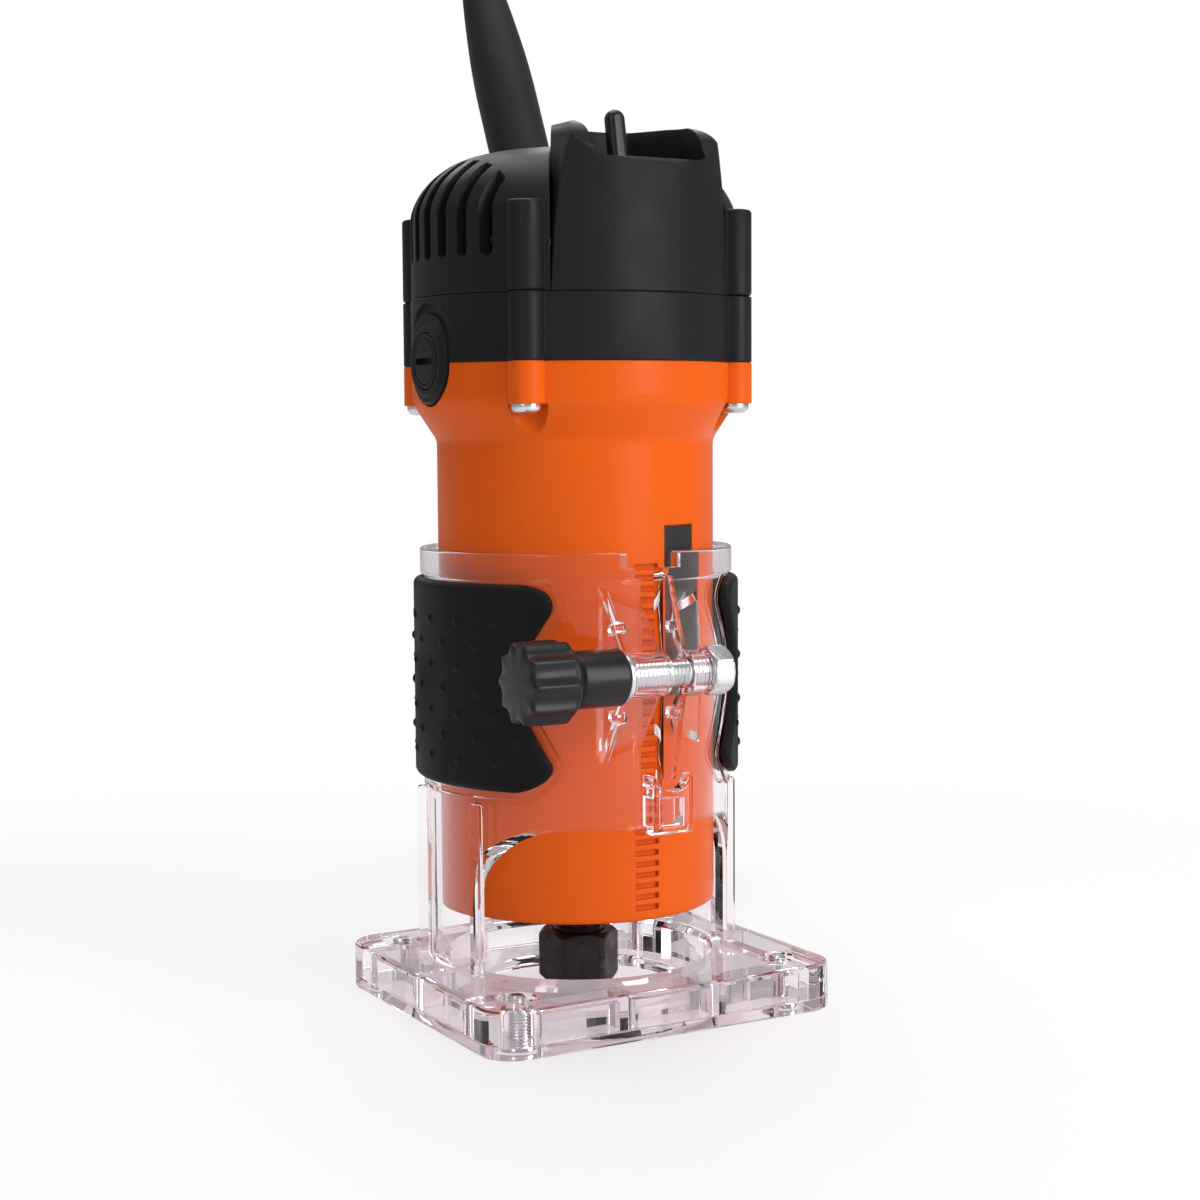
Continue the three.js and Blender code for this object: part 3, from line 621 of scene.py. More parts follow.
def clear_material(name, tint, roughness=0.01, smears=0.035, ripple=0.00002):
    """Clear acrylic: plain transmission and tint, with smeared gloss and a moulded ripple. It
    lets lamps and spread light straight through, and so does a ray that has long wandered in it."""
    material, nodes, shader, surface = blank_material(name)
    if nodes is None:
        return material
    hand = placed_effect(nodes, "Hand smears", Size=95.0)
    nodes.join(nodes.ramp(hand["Smear"], 0, 1, roughness, roughness + smears),
               shader.inputs["Roughness"])
    bump = nodes.add("Bump")
    bump.inputs["Strength"].default_value = 1.0
    bump.inputs["Distance"].default_value = ripple
    nodes.join(hand["Height"], bump.inputs["Height"])
    nodes.join(bump.outputs[0], shader.inputs["Normal"])
    set_plain(shader, Base_Color=rgb(tint), Metallic=0.0, Transmission_Weight=1.0, IOR=1.49,
              Specular_Tint=(0.5, 0.5, 0.5, 1))
    path = nodes.add("LightPath").outputs
    straight = nodes.maths("MAXIMUM", path["Is Shadow Ray"], path["Is Diffuse Ray"])
    lost = nodes.maths("GREATER_THAN", path["Ray Depth"], 4.5)
    open_air = nodes.add("BsdfTransparent")
    open_air.inputs[0].default_value = rgb(tint)
    mix = nodes.add("MixShader")
    nodes.join(nodes.maths("MAXIMUM", straight, lost), mix.inputs[0])
    nodes.join(shader.outputs[0], mix.inputs[1])
    nodes.join(open_air.outputs[0], mix.inputs[2])
    nodes.join(mix.outputs[0], surface)
    return material


def finish_of(key):
    """The router's finishes, each made when it is first asked for."""
    colours = bpy.context.scene.router_colours
    head, barrel, rubber = tuple(colours.head), tuple(colours.barrel), tuple(colours.rubber)
    plans = {
        "barrel": lambda: skin_material(
            "Barrel plastic", barrel, 0.36, grain=1500.0, depth=0.000012, edge=0.0005,
            wear=0.18, worn=(0.86, 0.24, 0.06), dust=0.02, shade=0.93, specular=0.1),
        "head": lambda: skin_material(
            "Head plastic", head, 0.46, grain=1900.0, depth=0.00003, edge=0.0006,
            wear=0.3, worn=(0.04, 0.038, 0.041), dust=0.03, shade=0.75, specular=0.14),
        "knob": lambda: skin_material(
            "Knob plastic", head, 0.3, grain=1500.0, depth=0.000012, edge=0.0004,
            wear=0.3, worn=(0.04, 0.038, 0.041), dust=0.02, shade=0.8, specular=0.25),
        "rubber": lambda: skin_material(
            "Grip rubber", rubber, 0.58, grain=2300.0, depth=0.00004, edge=0.0,
            dust=0.03, shade=0.7, specular=0.1),
        "lead": lambda: skin_material(
            "Lead sheath", (0.010, 0.010, 0.011), 0.5, grain=2000.0, depth=0.00003,
            edge=0.0, dust=0.04, shade=0.75, specular=0.25),
        "plate": lambda: skin_material(
            "Name plate foil", (0.014, 0.012, 0.012), 0.28, grain=900.0, depth=0.000006,
            edge=0.0002, wear=0.2, dust=0.04, shade=0.8),
        "zinc": lambda: skin_material(
            "Bright zinc", (0.72, 0.73, 0.75), 0.24, marks=(900.0, 900.0, 5200.0),
            depth=0.00001, edge=0.0003, metallic=1.0, wear=0.4, worn=(0.86, 0.86, 0.87),
            dust=0.05, shade=0.78),
        "blacked": lambda: skin_material(
            "Blacked steel", (0.022, 0.018, 0.018), 0.3, marks=(1400.0, 1400.0, 4800.0),
            depth=0.000014, edge=0.0004, metallic=0.6, wear=0.5, worn=(0.16, 0.14, 0.13),
            dust=0.04, shade=0.6),
        "steel": lambda: skin_material(
            "Ground steel", (0.42, 0.43, 0.44), 0.3, marks=(600.0, 600.0, 9000.0),
            depth=0.00001, edge=0.0003, metallic=1.0, dust=0.05, shade=0.8),
        "brass": lambda: skin_material(
            "Drawn brass", (0.60, 0.42, 0.16), 0.3, marks=(4000.0, 700.0, 700.0),
            depth=0.00001, edge=0.0003, metallic=1.0, dust=0.05, shade=0.8),
        "copper": lambda: skin_material(
            "Enamelled winding", (0.45, 0.13, 0.045), 0.34, marks=(700.0, 700.0, 3300.0),
            depth=0.00008, edge=0.0, metallic=0.75, dust=0.08, shade=0.6),
        "carbon": lambda: skin_material(
            "Brush carbon", (0.03, 0.03, 0.032), 0.7, grain=2600.0, depth=0.00004,
            edge=0.0003, dust=0.1, shade=0.7),
        "lamination": lambda: skin_material(
            "Stacked lamination", (0.20, 0.205, 0.215), 0.42, marks=(60.0, 60.0, 6500.0),
            depth=0.00005, edge=0.0, metallic=0.85, dust=0.06, shade=0.6),
        "grey": lambda: skin_material(
            "Inner plastic", (0.06, 0.062, 0.068), 0.5, grain=1600.0, depth=0.00003,
            edge=0.0004, dust=0.1),
        "strap": lambda: skin_material(
            "Woven strap", (0.012, 0.012, 0.013), 0.75, marks=(2600.0, 2600.0, 2600.0),
            depth=0.00012, edge=0.0, dust=0.15, shade=0.5),
        "clear": lambda: clear_material("Clear acrylic", tuple(colours.clear)),
    }
    return plans[key]()


# ---------------------------------------------------------------- more shapes


def together(*solids):
    """Several solids that don't touch, as one."""
    points, faces, count = [], [], 0
    for some_points, some_faces in solids:
        points.append(some_points)
        faces += [[corner + count for corner in face] for face in some_faces]
        count += len(some_points)
    return np.concatenate(points), faces


def swept(path, radius, first, second, sides=12, closed=False):
    """A round bar along a path: p + r (cos a e1 + sin a e2) at each of its points."""
    a = np.arange(sides) * TAU / sides
    radius = np.broadcast_to(radius, len(path))[:, None, None]
    ring = np.cos(a)[None, :, None] * first[:, None] + np.sin(a)[None, :, None] * second[:, None]
    return loft(path[:, None] + radius * ring, closed)


def curve(points, steps=4):
    """A smooth line through points: each span is the cubic of Catmull and Rom."""
    p = np.asarray(points, float)
    p = np.concatenate([[2 * p[0] - p[1]], p, [2 * p[-1] - p[-2]]])
    t = np.linspace(0, 1, steps, endpoint=False)[None, :, None]
    a, b, c, d = (p[k:len(p) - 3 + k][:, None] for k in range(4))
    line = 0.5 * (2 * b + (c - a) * t + (2 * a - 5 * b + 4 * c - d) * t ** 2
                  + (3 * b - a - 3 * c + d) * t ** 3)
    return np.concatenate([line.reshape(-1, p.shape[1]), p[-2][None]])


def hull_of(lower, upper):
    """A prism between two outlines of the same number of 3-D points."""
    return loft(np.array([lower, upper], float))


def at_corners(radius, z0, z1, segments, edge=0.0):
    """Four upright bars, one in each corner of the head."""
    return [rod(radius, z0, z1, x, y, segments, edge) for x, y in HEAD_CORNERS]


# ---------------------------------------------------------------- lead


def lead_plane():
    """The guard's axis, the heading on the floor, and the leaning plane that holds both."""
    out = np.array([0, math.sin(GUARD_TILT), math.cos(GUARD_TILT)])
    along = np.array([math.cos(LEAD_HEADING), math.sin(LEAD_HEADING), 0])
    up = unit(out - out.dot(along) * along)
    return out, along, up, GUARD_ROOT + GUARD_LENGTH * out


def free_stretch(step=2.0):
    """Out of the guard, over in a bend, down, and out along the floor: the heading is level
    along the straights and changes evenly in the bends, and the place is its running sum."""
    out, along, up, tip = lead_plane()
    start = math.atan2(out.dot(up), out.dot(along))
    down = -math.pi / 2 - LEAD_LEAN
    bend_drop = LEAD_BEND_R * (math.cos(down) - math.cos(start))
    landing_drop = LEAD_BEND_R * (1 - math.cos(down))
    whole = (tip[2] - COIL_LIFT - LEAD_R) / up[2]
    fall = (whole + LEAD_RISE * math.sin(start) + bend_drop - landing_drop) / math.cos(LEAD_LEAN)
    legs = [(LEAD_RISE, start, start), (LEAD_BEND_R * (start - down), start, down),
            (fall, down, down), (-LEAD_BEND_R * down, down, 0.0), (JOIN_RUN, 0.0, 0.0)]
    headings, lengths = [], []
    for length, first, last in legs:
        count = max(2, round(length / step))
        headings.append(first + (last - first) * (np.arange(count) + 0.5) / count)
        lengths.append(np.full(count, length / count))
    heading, length = np.concatenate(headings)[:, None], np.concatenate(lengths)[:, None]
    steps = (np.cos(heading) * along + np.sin(heading) * up) * length
    return np.concatenate([[tip], tip + np.cumsum(steps, 0)]), float(length.sum())


def coil_frame(landed, free_length):
    """Centre, radius and turn of the stored ring."""
    whole = bpy.context.scene.router_sizes.lead_length / MM
    turns_length = whole - free_length - math.pi * CURL_R
    radius = turns_length / (4 * math.pi * COIL_LAYERS)
    turn = LEAD_HEADING - math.pi / 2
    sideways = np.array([math.cos(turn), math.sin(turn), 0])
    ahead = np.array([-math.sin(turn), math.cos(turn), 0])
    centre = landed * [1, 1, 0] - (radius + LEAD_R) * sideways
    return centre, radius, sideways, ahead


def stored_turns(radius):
    """Six turns two wide and three high, then a curl on top. Distance from the middle and
    height step from place to place in smooth ramps, each a little earlier in its turn."""
    inner, outer = radius - LEAD_R, radius + LEAD_R
    height = [COIL_LIFT + LEAD_R * (2 * k + 1) for k in range(COIL_LAYERS)]
    places = [(outer, height[0]), (inner, height[0]), (inner, height[1]),
              (outer, height[1]), (inner, height[2]), (outer, height[2]),
              (outer, CURL_Z)]
    degrees = np.arange(0, 6 * 360 + 1, 4.0)
    starts = [360 * j - 20 - 40 * j for j in range(1, 6)] + [6 * 360 - 62]
    r = np.full(len(degrees), places[0][0])
    z = np.full(len(degrees), places[0][1])
    for start, before, after in zip(starts, places, places[1:]):
        t = np.clip((degrees - start) / 48, 0, 1)
        ease = t * t * (3 - 2 * t)
        r += (after[0] - before[0]) * ease
        z += (after[1] - before[1]) * ease
        if before[0] != after[0] and before[1] != after[1]:
            z += 1.6 * np.sin(math.pi * t)
    a = np.radians(degrees)
    turns = np.stack([r * np.cos(a), r * np.sin(a), z], -1)
    b = np.linspace(0, math.pi, 46)[1:]
    curl = np.stack([outer - CURL_R + CURL_R * np.cos(b), CURL_R * np.sin(b),
                     np.full(len(b), places[-1][1])], -1)
    return turns, curl


def lead_path():
    """The whole lead's line from the guard's tip to the plug, and the coil's frame."""
    free, free_length = free_stretch()
    centre, radius, sideways, ahead = coil_frame(free[-1], free_length)
    turns, curl = stored_turns(radius)
    wound = np.concatenate([turns[1:], curl])
    wound = centre + wound[:, :1] * sideways + wound[:, 1:2] * ahead + wound[:, 2:] * [0, 0, 1]
    return np.concatenate([free, wound]), len(free), (centre, radius, sideways, ahead)


def placed_in_coil(solid, coil, x=0.0, y=0.0, z=0.0, turn=0.0):
    """A solid turned and shifted in the coil's own frame, then set in the row frame."""
    centre, _, sideways, ahead = coil
    points, faces = moved(spun(solid, math.degrees(turn)), x, y, z)
    return (centre + points[:, :1] * sideways + points[:, 1:2] * ahead
            + points[:, 2:] * [0, 0, 1]), faces


class ROUTER_OT_lead(bpy.types.Operator):
    """Mains lead: free stretch, stored coil, tie and plug"""

    bl_idname = "router.lead"
    bl_label = "Mains lead"

    def execute(self, context):
        path, free_count, coil = lead_path()
        _, along, up, tip = lead_plane()
        tangent = unit(np.gradient(path, axis=0))
        flat = unit(np.cross([0, 0, 1.0], tangent))
        in_plane = unit(np.cross(up, along))
        is_free = (np.arange(len(path)) < free_count)[:, None]
        first = unit(np.where(is_free, in_plane, flat))
        first = unit(first - np.sum(first * tangent, 1, keepdims=True) * tangent)
        second = np.cross(tangent, first)
        lead = piece("mains_lead", swept(path, LEAD_R, first, second, 14), "base",
                     finish_of("lead"), angle=60, weighted=False)
        lead.parent = None
        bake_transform(lead)
        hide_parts("cord_lead", "cord_coil", "cord_end")
        self.plug(coil)
        self.tie(coil)
        return {"FINISHED"}

    def plug(self, coil):
        """A moulded plug: ribbed tail, rounded body with a waist, and two round pins."""
        _, radius, _, _ = coil
        x, z = radius + LEAD_R - 2 * CURL_R, CURL_Z
        t = np.linspace(0, 1, 29)
        tail_r = 3.6 + 1.4 * t + 0.35 * (np.cos(t * TAU * 4) > 0)
        tail = turned(np.column_stack([np.r_[0, tail_r, 0], np.r_[0.5, 0.5 + 13.8 * t, 14.3]]),
                      28, closed=False)
        tail = along_y(tail)
        outline = rounded([(-11, 13, 3), (11, 13, 3), (9.4, 27, 6), (11, 45, 2.5), (-11, 45, 2.5),
                           (-9.4, 27, 6)], 3, 5)
        body = slab(outline, soft(-LEAD_R, 10.4, 1.6, 1.6, 4))
        shape = carved(body, joins=[tail])
        points = np.empty(len(shape.vertices) * 3)
        shape.vertices.foreach_get("co", points)
        points, _ = placed_in_coil((points.reshape(-1, 3), []), coil, x, 0, z, math.pi)
        shape.vertices.foreach_set("co", points.ravel())
        piece("mains_plug", shape, "base", finish_of("lead"), ["plug_body"])
        for k, side in enumerate((-1, 1)):
            pin = turned([(0, 45.3), (2, 45.3), (2, 60.6), (1.5, 61.7), (0, 62)], 24, closed=False)
            pin = moved(along_y(pin), side * 7, 0, 4)
            piece(f"mains_plug_pin_{k + 1}", placed_in_coil(pin, coil, x, 0, z, math.pi), "base",
                  finish_of("brass"), [f"plug_pin_{k + 1}"])

    def tie(self, coil):
        """A flat strap round the bundle, made as one closed band."""
        _, radius, _, _ = coil
        low, high = radius - 2 * LEAD_R, radius + 2 * LEAD_R

        def loop(out, lift):
            left, right = low - 0.9 - out, high + 0.4 + out
            bottom, top = 0.6 - lift, COIL_TOP + 0.3 + lift
            return rounded([(left, bottom), (right, bottom), (right, top), (left, top)], 2.2, 4)

        inside, outside = loop(0, 0), loop(0.6, 0.6)
        section = [(np.column_stack([ring[:, 0], np.full(len(ring), y), ring[:, 1]]))
                   for ring, y in ((inside, -5), (outside, -5), (outside, 5), (inside, 5))]
        piece("coil_tie", placed_in_coil(loft(np.array(section), True), coil,
                                         turn=math.radians(-70)), "base",
              finish_of("strap"), ["cord_tie"])


# ---------------------------------------------------------------- stage


CAMERA_AT = Vector((-0.24790, -0.44660, 0.13660))
CAMERA_AIM = Vector((0.00498, -0.00277, 0.09439))
CAMERA_LENS = 64.72
CAMERA_ROLL = math.radians(-0.36)

# Name, place in metres, width and height, and power in watts.
LAMPS = (
    ("Key lamp", (0.4, -1.0, 0.5), (0.5, 0.9), 10.0),
    ("Side lamp", (-0.9, -0.6, 0.6), (0.3, 0.9), 1.5),
    ("Top lamp", (0.05, 0.15, 1.15), (0.8, 0.8), 8.0),
    ("Rear lamp", (0.35, 0.9, 0.9), (0.8, 0.5), 4.0),
)
LAMP_AIM = Vector((0, 0, 0.1))


class ROUTER_OT_stage(bpy.types.Operator):
    """Camera, pale floor, white surroundings and soft lamps"""

    bl_idname = "router.stage"
    bl_label = "Stage"

    def execute(self, context):
        scene = context.scene
        scene.view_settings.view_transform = "Standard"
        self.camera(scene)
        self.world(scene)
        self.floor(scene)
        for name, place, size, power in LAMPS:
            self.lamp(scene, name, Vector(place), size, power)
        return {"FINISHED"}

    def camera(self, scene):
        """The camera, aimed at the middle of the tool and rolled a little."""
        data = bpy.data.cameras.new("Camera")
        data.lens, data.sensor_width = CAMERA_LENS, 36.0
        data.clip_start, data.clip_end = 0.01, 20.0
        camera = bpy.data.objects.new("Camera", data)
        camera.location = CAMERA_AT
        camera.rotation_mode = "QUATERNION"
        aim = (CAMERA_AIM - CAMERA_AT).to_track_quat("-Z", "Y")
        camera.rotation_quaternion = aim @ Quaternion((0, 0, 1), CAMERA_ROLL)
        scene.collection.objects.link(camera)
        scene.camera = camera

    def lamp(self, scene, name, place, size, power):
        """A soft rectangular lamp that looks at the middle of the tool."""
        data = bpy.data.lights.new(name, "AREA")
        data.shape, data.size, data.size_y, data.energy = "RECTANGLE", *size, power
        lamp = bpy.data.objects.new(name, data)
        lamp.location = place
        lamp.rotation_mode = "QUATERNION"
        lamp.rotation_quaternion = (LAMP_AIM - place).to_track_quat("-Z", "Y")
        scene.collection.objects.link(lamp)

    def seen(self, nodes):
        """1 for rays that go straight to the eye or through clear parts, and a share of 1 for
        mirrored ones, so that metal shows the surroundings and dark plastic isn't veiled."""
        path = nodes.add("LightPath").outputs
        mirrored = nodes.maths("MULTIPLY", path["Is Glossy Ray"], EYE_SHARE_OF_MIRRORS)
        share = nodes.maths("MAXIMUM", path["Is Camera Ray"], mirrored)
        unmirrored = nodes.ramp(path["Glossy Depth"], 0, 1, 1.0, 0.45)
        through = nodes.maths("MULTIPLY", path["Is Transmission Ray"], unmirrored)
        return nodes.maths("MAXIMUM", share, through)

    def world(self, scene):
        """White surroundings for the eye, and a dimmer white that lights the tool."""
        world = bpy.data.worlds.new("Surroundings")
        world.use_nodes = True
        world.node_tree.nodes.clear()
        nodes = Nodes(world.node_tree)
        lit, white = nodes.add("Background"), nodes.add("Background")
        lit.inputs["Color"].default_value = (1, 1, 1, 1)
        lit.inputs["Strength"].default_value = SURROUNDINGS_STRENGTH
        white.inputs["Color"].default_value = (1, 1, 1, 1)
        white.inputs["Strength"].default_value = 1.0
        mix = nodes.add("MixShader")
        nodes.join(self.seen(nodes), mix.inputs[0])
        nodes.join(lit.outputs[0], mix.inputs[1])
        nodes.join(white.outputs[0], mix.inputs[2])
        nodes.join(mix.outputs[0], nodes.add("OutputWorld").inputs[0])
        scene.world = world

    def floor(self, scene):
        """A round pale floor whose far part fades into the white surroundings."""
        radius = np.array([0.0, 0.2, 0.5, 1.0, 2.0, 4.0]) / MM
        points, faces = turned(np.column_stack([radius, 0 * radius - 0.05]), 64, closed=False)
        mesh = bpy.data.meshes.new("Floor")
        mesh.from_pydata((points * MM).tolist(), [], faces[:-2])
        floor = bpy.data.objects.new("Floor", mesh)
        scene.collection.objects.link(floor)
        material = bpy.data.materials.new("Pale floor")
        material.use_nodes = True
        material.node_tree.nodes.clear()
        nodes = Nodes(material.node_tree)
        shader = nodes.add("BsdfPrincipled")
        set_plain(shader, Roughness=0.6, Specular_IOR_Level=0.2)
        where = nodes.add("VectorMath", operation="LENGTH")
        nodes.join(nodes.add("TexCoord").outputs["Object"], where.inputs[0])
        far = nodes.ramp(where.outputs["Value"], *FLOOR_FADE)
        grain = nodes.ramp(nodes.noise(700.0, 3.0, nodes.place()), 0.2, 0.8)
        nodes.join(nodes.blend(grain, (0.8, 0.8, 0.8, 1), (0.82, 0.82, 0.82, 1)),
                   shader.inputs["Base Color"])
        white = nodes.add("Emission")
        white.inputs["Strength"].default_value = 1.0
        share = nodes.ramp(far, 0, 1, FLOOR_GLOW, 1.0)
        mix = nodes.add("MixShader")
        nodes.join(nodes.maths("MULTIPLY", self.seen(nodes), share), mix.inputs[0])
        nodes.join(shader.outputs[0], mix.inputs[1])
        nodes.join(white.outputs[0], mix.inputs[2])
        nodes.join(mix.outputs[0], nodes.add("OutputMaterial").inputs[0])
        mesh.materials.append(material)


# ---------------------------------------------------------------- motor unit


class ROUTER_OT_housing(bpy.types.Operator):
    """Motor barrel with its taper, bosses and depth rack, and the blank name plate"""

    bl_idname = "router.housing"
    bl_label = "Motor housing"

    def execute(self, context):
        sizes = context.scene.router_sizes
        r, pitch = sizes.barrel_radius / MM, sizes.rack_pitch / MM
        profile = rounded([
            (8.8, BARREL_BOTTOM, 0.3), (r, BARREL_BOTTOM, 1.1), (r, TAPER_BOTTOM, 1.2),
            (HEAD_R, SHOULDER_Z, 2.0), (HEAD_R, HOUSING_TOP, 0.25), (35.2, HOUSING_TOP, 0.2),
            (35.2, 145, 0), (30, 142, 0), (30, 30, 0), (17, 30, 0), (17, 35, 0), (14.3, 35, 0),
            (14.3, 26.5, 0), (8.8, 26.5, 0)], 0.4, 4)
        bosses = at_corners(COLUMN_R, SHOULDER_Z - 0.4, HOUSING_TOP, 40, 0.3)
        screw_room = together(*at_corners(4.7, 133.5, SHOULDER_Z - 0.4, 40))
        pilot = together(*at_corners(1.9, 130, 160, 20))
        seats = [self.seat_tool(side) for side in (-1, 1)]
        outlets = together(*(spun(block(21, 26.5, -2.4, 2.4, 20, 32, 0, 2.2), 30 + 60 * k)
                             for k in range(6)))
        teeth = together(*(block(-3.05, 3.05, -34, -r + 1.1, z, z + pitch / 2, 0.1, 0.12)
                           for z in BARREL_BOTTOM + 2.5 + pitch * np.arange(32)))
        label_seat = slab(sector(r - 0.75, 36, PLATE_TURN, 8.5), soft(74.7, 113.3, 0, 0))
        shape = carved(turned(profile, 180), joins=bosses,
                       cuts=[screw_room, pilot, *seats, outlets, teeth, label_seat])
        piece("motor_barrel", shape, "motor", finish_of("barrel"),
              ["motor_housing"])
        plate = slab(rounded(sector(r - 0.6, r - 0.1, PLATE_TURN, 8.2), 0.12, 2),
                     soft(75, 113, 0.1, 0.1))
        piece("blank_plate", plate, "motor", finish_of("plate"), ["name_plate"])
        return {"FINISHED"}

    def seat_tool(self, side):
        """The oval seat of a brush holder, cut into the shoulder from the side."""
        reach = soft(*sorted((side * 34.2, side * 42.0)), 0, 0)
        return along_x(slab(oval(9.0, 10.8), reach), 0, CAP_SEAT_Z)


def oval(half_width, half_height, steps=14):
    """Two half circles joined by straights, upright when laid along X."""
    rise = half_height - half_width
    return np.concatenate([arc(0, rise, half_width, 0, 180, steps),
                           arc(0, -rise, half_width, 180, 360, steps)])


class ROUTER_OT_head(bpy.types.Operator):
    """Brush band, vented cover and the switch guard of the head"""

    bl_idname = "router.head"
    bl_label = "Head"

    def execute(self, context):
        self.band()
        self.cover(context.scene.router_sizes.vent_width / MM)
        self.shield()
        return {"FINISHED"}

    def band(self):
        """The band under the cover: wall, columns, bearing deck, and oval seats for the caps."""
        low = HOUSING_TOP + 0.05
        wall = turned(rounded([(35.4, low, 0.2), (38.2, low, 0.3), (38.2, BAND_TOP, 0.3),
                               (35.4, BAND_TOP, 0.2)], 0.3, 3), 180)
        deck = turned([(8, 159.5), (36, 159.5), (36, 161.5), (13.6, 161.5), (13.6, 168),
                       (11.3, 168), (11.3, 161), (8, 161)], 72)
        columns = at_corners(COLUMN_R, low, BAND_TOP, 40, 0.25)
        holes = together(*at_corners(1.9, 140, 170, 20))
        hollows, bosses, rings, bores = [], [], [], []
        for side in (-1, 1):
            span = lambda a, b: sorted((side * a, side * b))
            hollow = slab(oval(11.0, 12.6), soft(*span(37.1, 45), 0, 0))
            boss = slab(oval(8.5, 10.4), soft(*span(33.6, 38.2), 0.6, 0.6))
            hollows.append(along_x(hollow, 0, CAP_SEAT_Z))
            bosses.append(along_x(boss, 0, CAP_SEAT_Z))
            rings.append(along_x(rod(8.1, *span(34, 38.75), segments=64, edge=0.5), 0, BRUSH_Z))
            bores.append(along_x(rod(6.6, *span(31, 42), segments=64), 0, BRUSH_Z))
        leads = together(*(rod(3.5, 150, 165, 0, side * 24, 20) for side in (-1, 1)))
        shape = carved(carved(wall, joins=[deck, *columns], cuts=hollows),
                       joins=[*bosses, *rings], cuts=[holes, *bores, leads])
        piece("brush_gear_band", shape, "motor", finish_of("head"), ["brush_band"])

    def vent_tool(self, side, y, width):
        """A slot with a round lower end, cut across the side wall and over the shoulder."""
        half = width / 2
        outline = np.concatenate([arc(0, 173 + half, half, 180, 360, 10),
                                  [(half, 206), (-half, 206)]])
        solid = slab(outline, soft(*sorted((side * 28.4, side * 50.0)), 0, 0))
        return moved(along_x(solid), 0, y, 0)

    def cover(self, vent_width):
        """A domed shell with columns and vents, open in front for the shield."""
        low = BAND_TOP + 0.05
        outside = curve([(HEAD_R, 181.5), (37.9, 184.4), (36.7, 187.6), (34.6, 190.8), (31.2, 193.9),
                         (26.4, 196.6), (19, 198.4), (9, 199.1), (0, 199.2)], 4)
        inside = curve([(0, 196.6), (18, 195.8), (27, 193), (32.6, 188.5), (35.2, 182)], 4)
        profile = np.concatenate([[(HEAD_R - 0.25, low), (HEAD_R, low + 0.25)], outside, inside,
                                  [(35.2, low)]])
        profile[:, 0] = np.maximum(profile[:, 0], 0)
        shell = turned(profile, 180)
        columns = at_corners(COLUMN_R, low, 184.8, 40, 0.9)
        saddle = block(-12, 12, 21, 36, 170, 175)
        pilot = together(*at_corners(1.8, 160, 178, 20))
        clamp_holes = together(*(rod(1.7, 165, 180, x, 25, 20) for x in (-8.5, 8.5)))
        vents = together(*(self.vent_tool(side, -0.6 + 6.2 * k, vent_width)
                           for side in (-1, 1) for k in range(-3, 4)))
        guard_hole = leaning(rod(7.7, -20, 20, segments=64))
        plan = slab(self.plan(0.15), soft(160, 212, 0, 0))
        shape = carved(shell, joins=[*columns, saddle],
                       cuts=[plan, vents, pilot, clamp_holes, guard_hole])
        piece("vented_cover", shape, "motor", finish_of("head"), ["head_cover"])

    def plan(self, spare):
        """The shield seen from above: the head's arc in front, tapering in behind."""
        half = 36.5 + math.degrees(spare / HEAD_R)
        front = arc(0, 0, HEAD_R + 0.1 + spare, -90 - half, -90 + half, 40)
        side = [(19.2, -24.5, 3), (12, -12.5, 3), (8.5, -8.2, 2.5)]
        right = [(x + spare, y + spare, r) for x, y, r in side]
        left = [(-x, y, r) for x, y, r in right[::-1]]
        rear = rounded([tuple(front[-1]) + (0,), *right, *left, tuple(front[0]) + (0,)],
                       2.5, 5, closed=False)
        return np.concatenate([front, rear[1:-1]])

    def shield(self):
        """The switch guard: its plan drawn up, then kept inside its side and front outlines,
        with a well in the top for the lever and a mouth open to the front."""
        low = BAND_TOP + 0.05
        blank = slab(self.plan(0), [(low, 0.3), (low + 0.25, 0), (204, 0)])
        half = curve([(22.6, low), (22.1, 176), (21.7, 182), (21.1, 187), (20.6, 190.5), (19.9, 194),
                      (19.3, 196.8), (18.6, 199.2), (17.6, 200.9), (16.5, 201.9), (15.2, 202.5),
                      (13.0, 202.8)], 4)
        front_view = np.concatenate([half, half[::-1] * [-1, 1]])
        leaning_sides = stood_up(slab(front_view, soft(-6, 46, 0, 0)))
        side_view = curve([(-39.5, 186), (-39.1, 189.6), (-38, 192.8), (-36, 194.9), (-34.1, 197),
                           (-32.9, 199.3), (-31, 201), (-28.6, 202.1), (-25.6, 202.8), (-20, 203.1),
                           (-12, 203.0), (-9, 202.2), (-5.4, 199)], 4)
        side_view = np.concatenate([[(-39.5, low)], side_view, [(-5.4, low)]])
        hump = along_x(slab(side_view, soft(-30, 30, 0, 0)))
        well = [(14.2, -24.8, 3), (8.6, -14.2, 3), (6.2, -11.2, 2)]
        across = [(-x, y, r) for x, y, r in well[::-1]]
        pocket = slab(rounded([(-14.2, -33), (14.2, -33), *well, *across], 3, 5),
                      [(190, 1.4), (190.4, 0.7), (191, 0.25), (192, 0.05), (195.3, 0.05)])
        mouth = slab(rounded([(-14.2, -46), (14.2, -46), *well, *across], 3, 5),
                     [(194.2, 0.9), (194.6, 0.3), (195.2, 0), (201, -0.1), (202, -0.35), (205, -1.4)])
        hollow = [block(-15.6, 15.6, -32.6, -26, 160, 187), block(-9, 9, -27, -11, 160, 187),
                  block(-17.2, 17.2, -28, 0, 160, 172)]
        lever_slot = block(-3.4, 3.4, -28.5, -15, 180, 195, 0, 1.5)
        shape = carved(blank, keeps=[hump, leaning_sides], cuts=[pocket, mouth, *hollow, lever_slot])
        piece("switch_shield", shape, "motor", finish_of("head"), ["front_shield"])


def leaning(solid):
    """A solid modelled along Z, set on the cord guard's leaning axis."""
    return tilted(solid, GUARD_TILT, GUARD_ROOT)


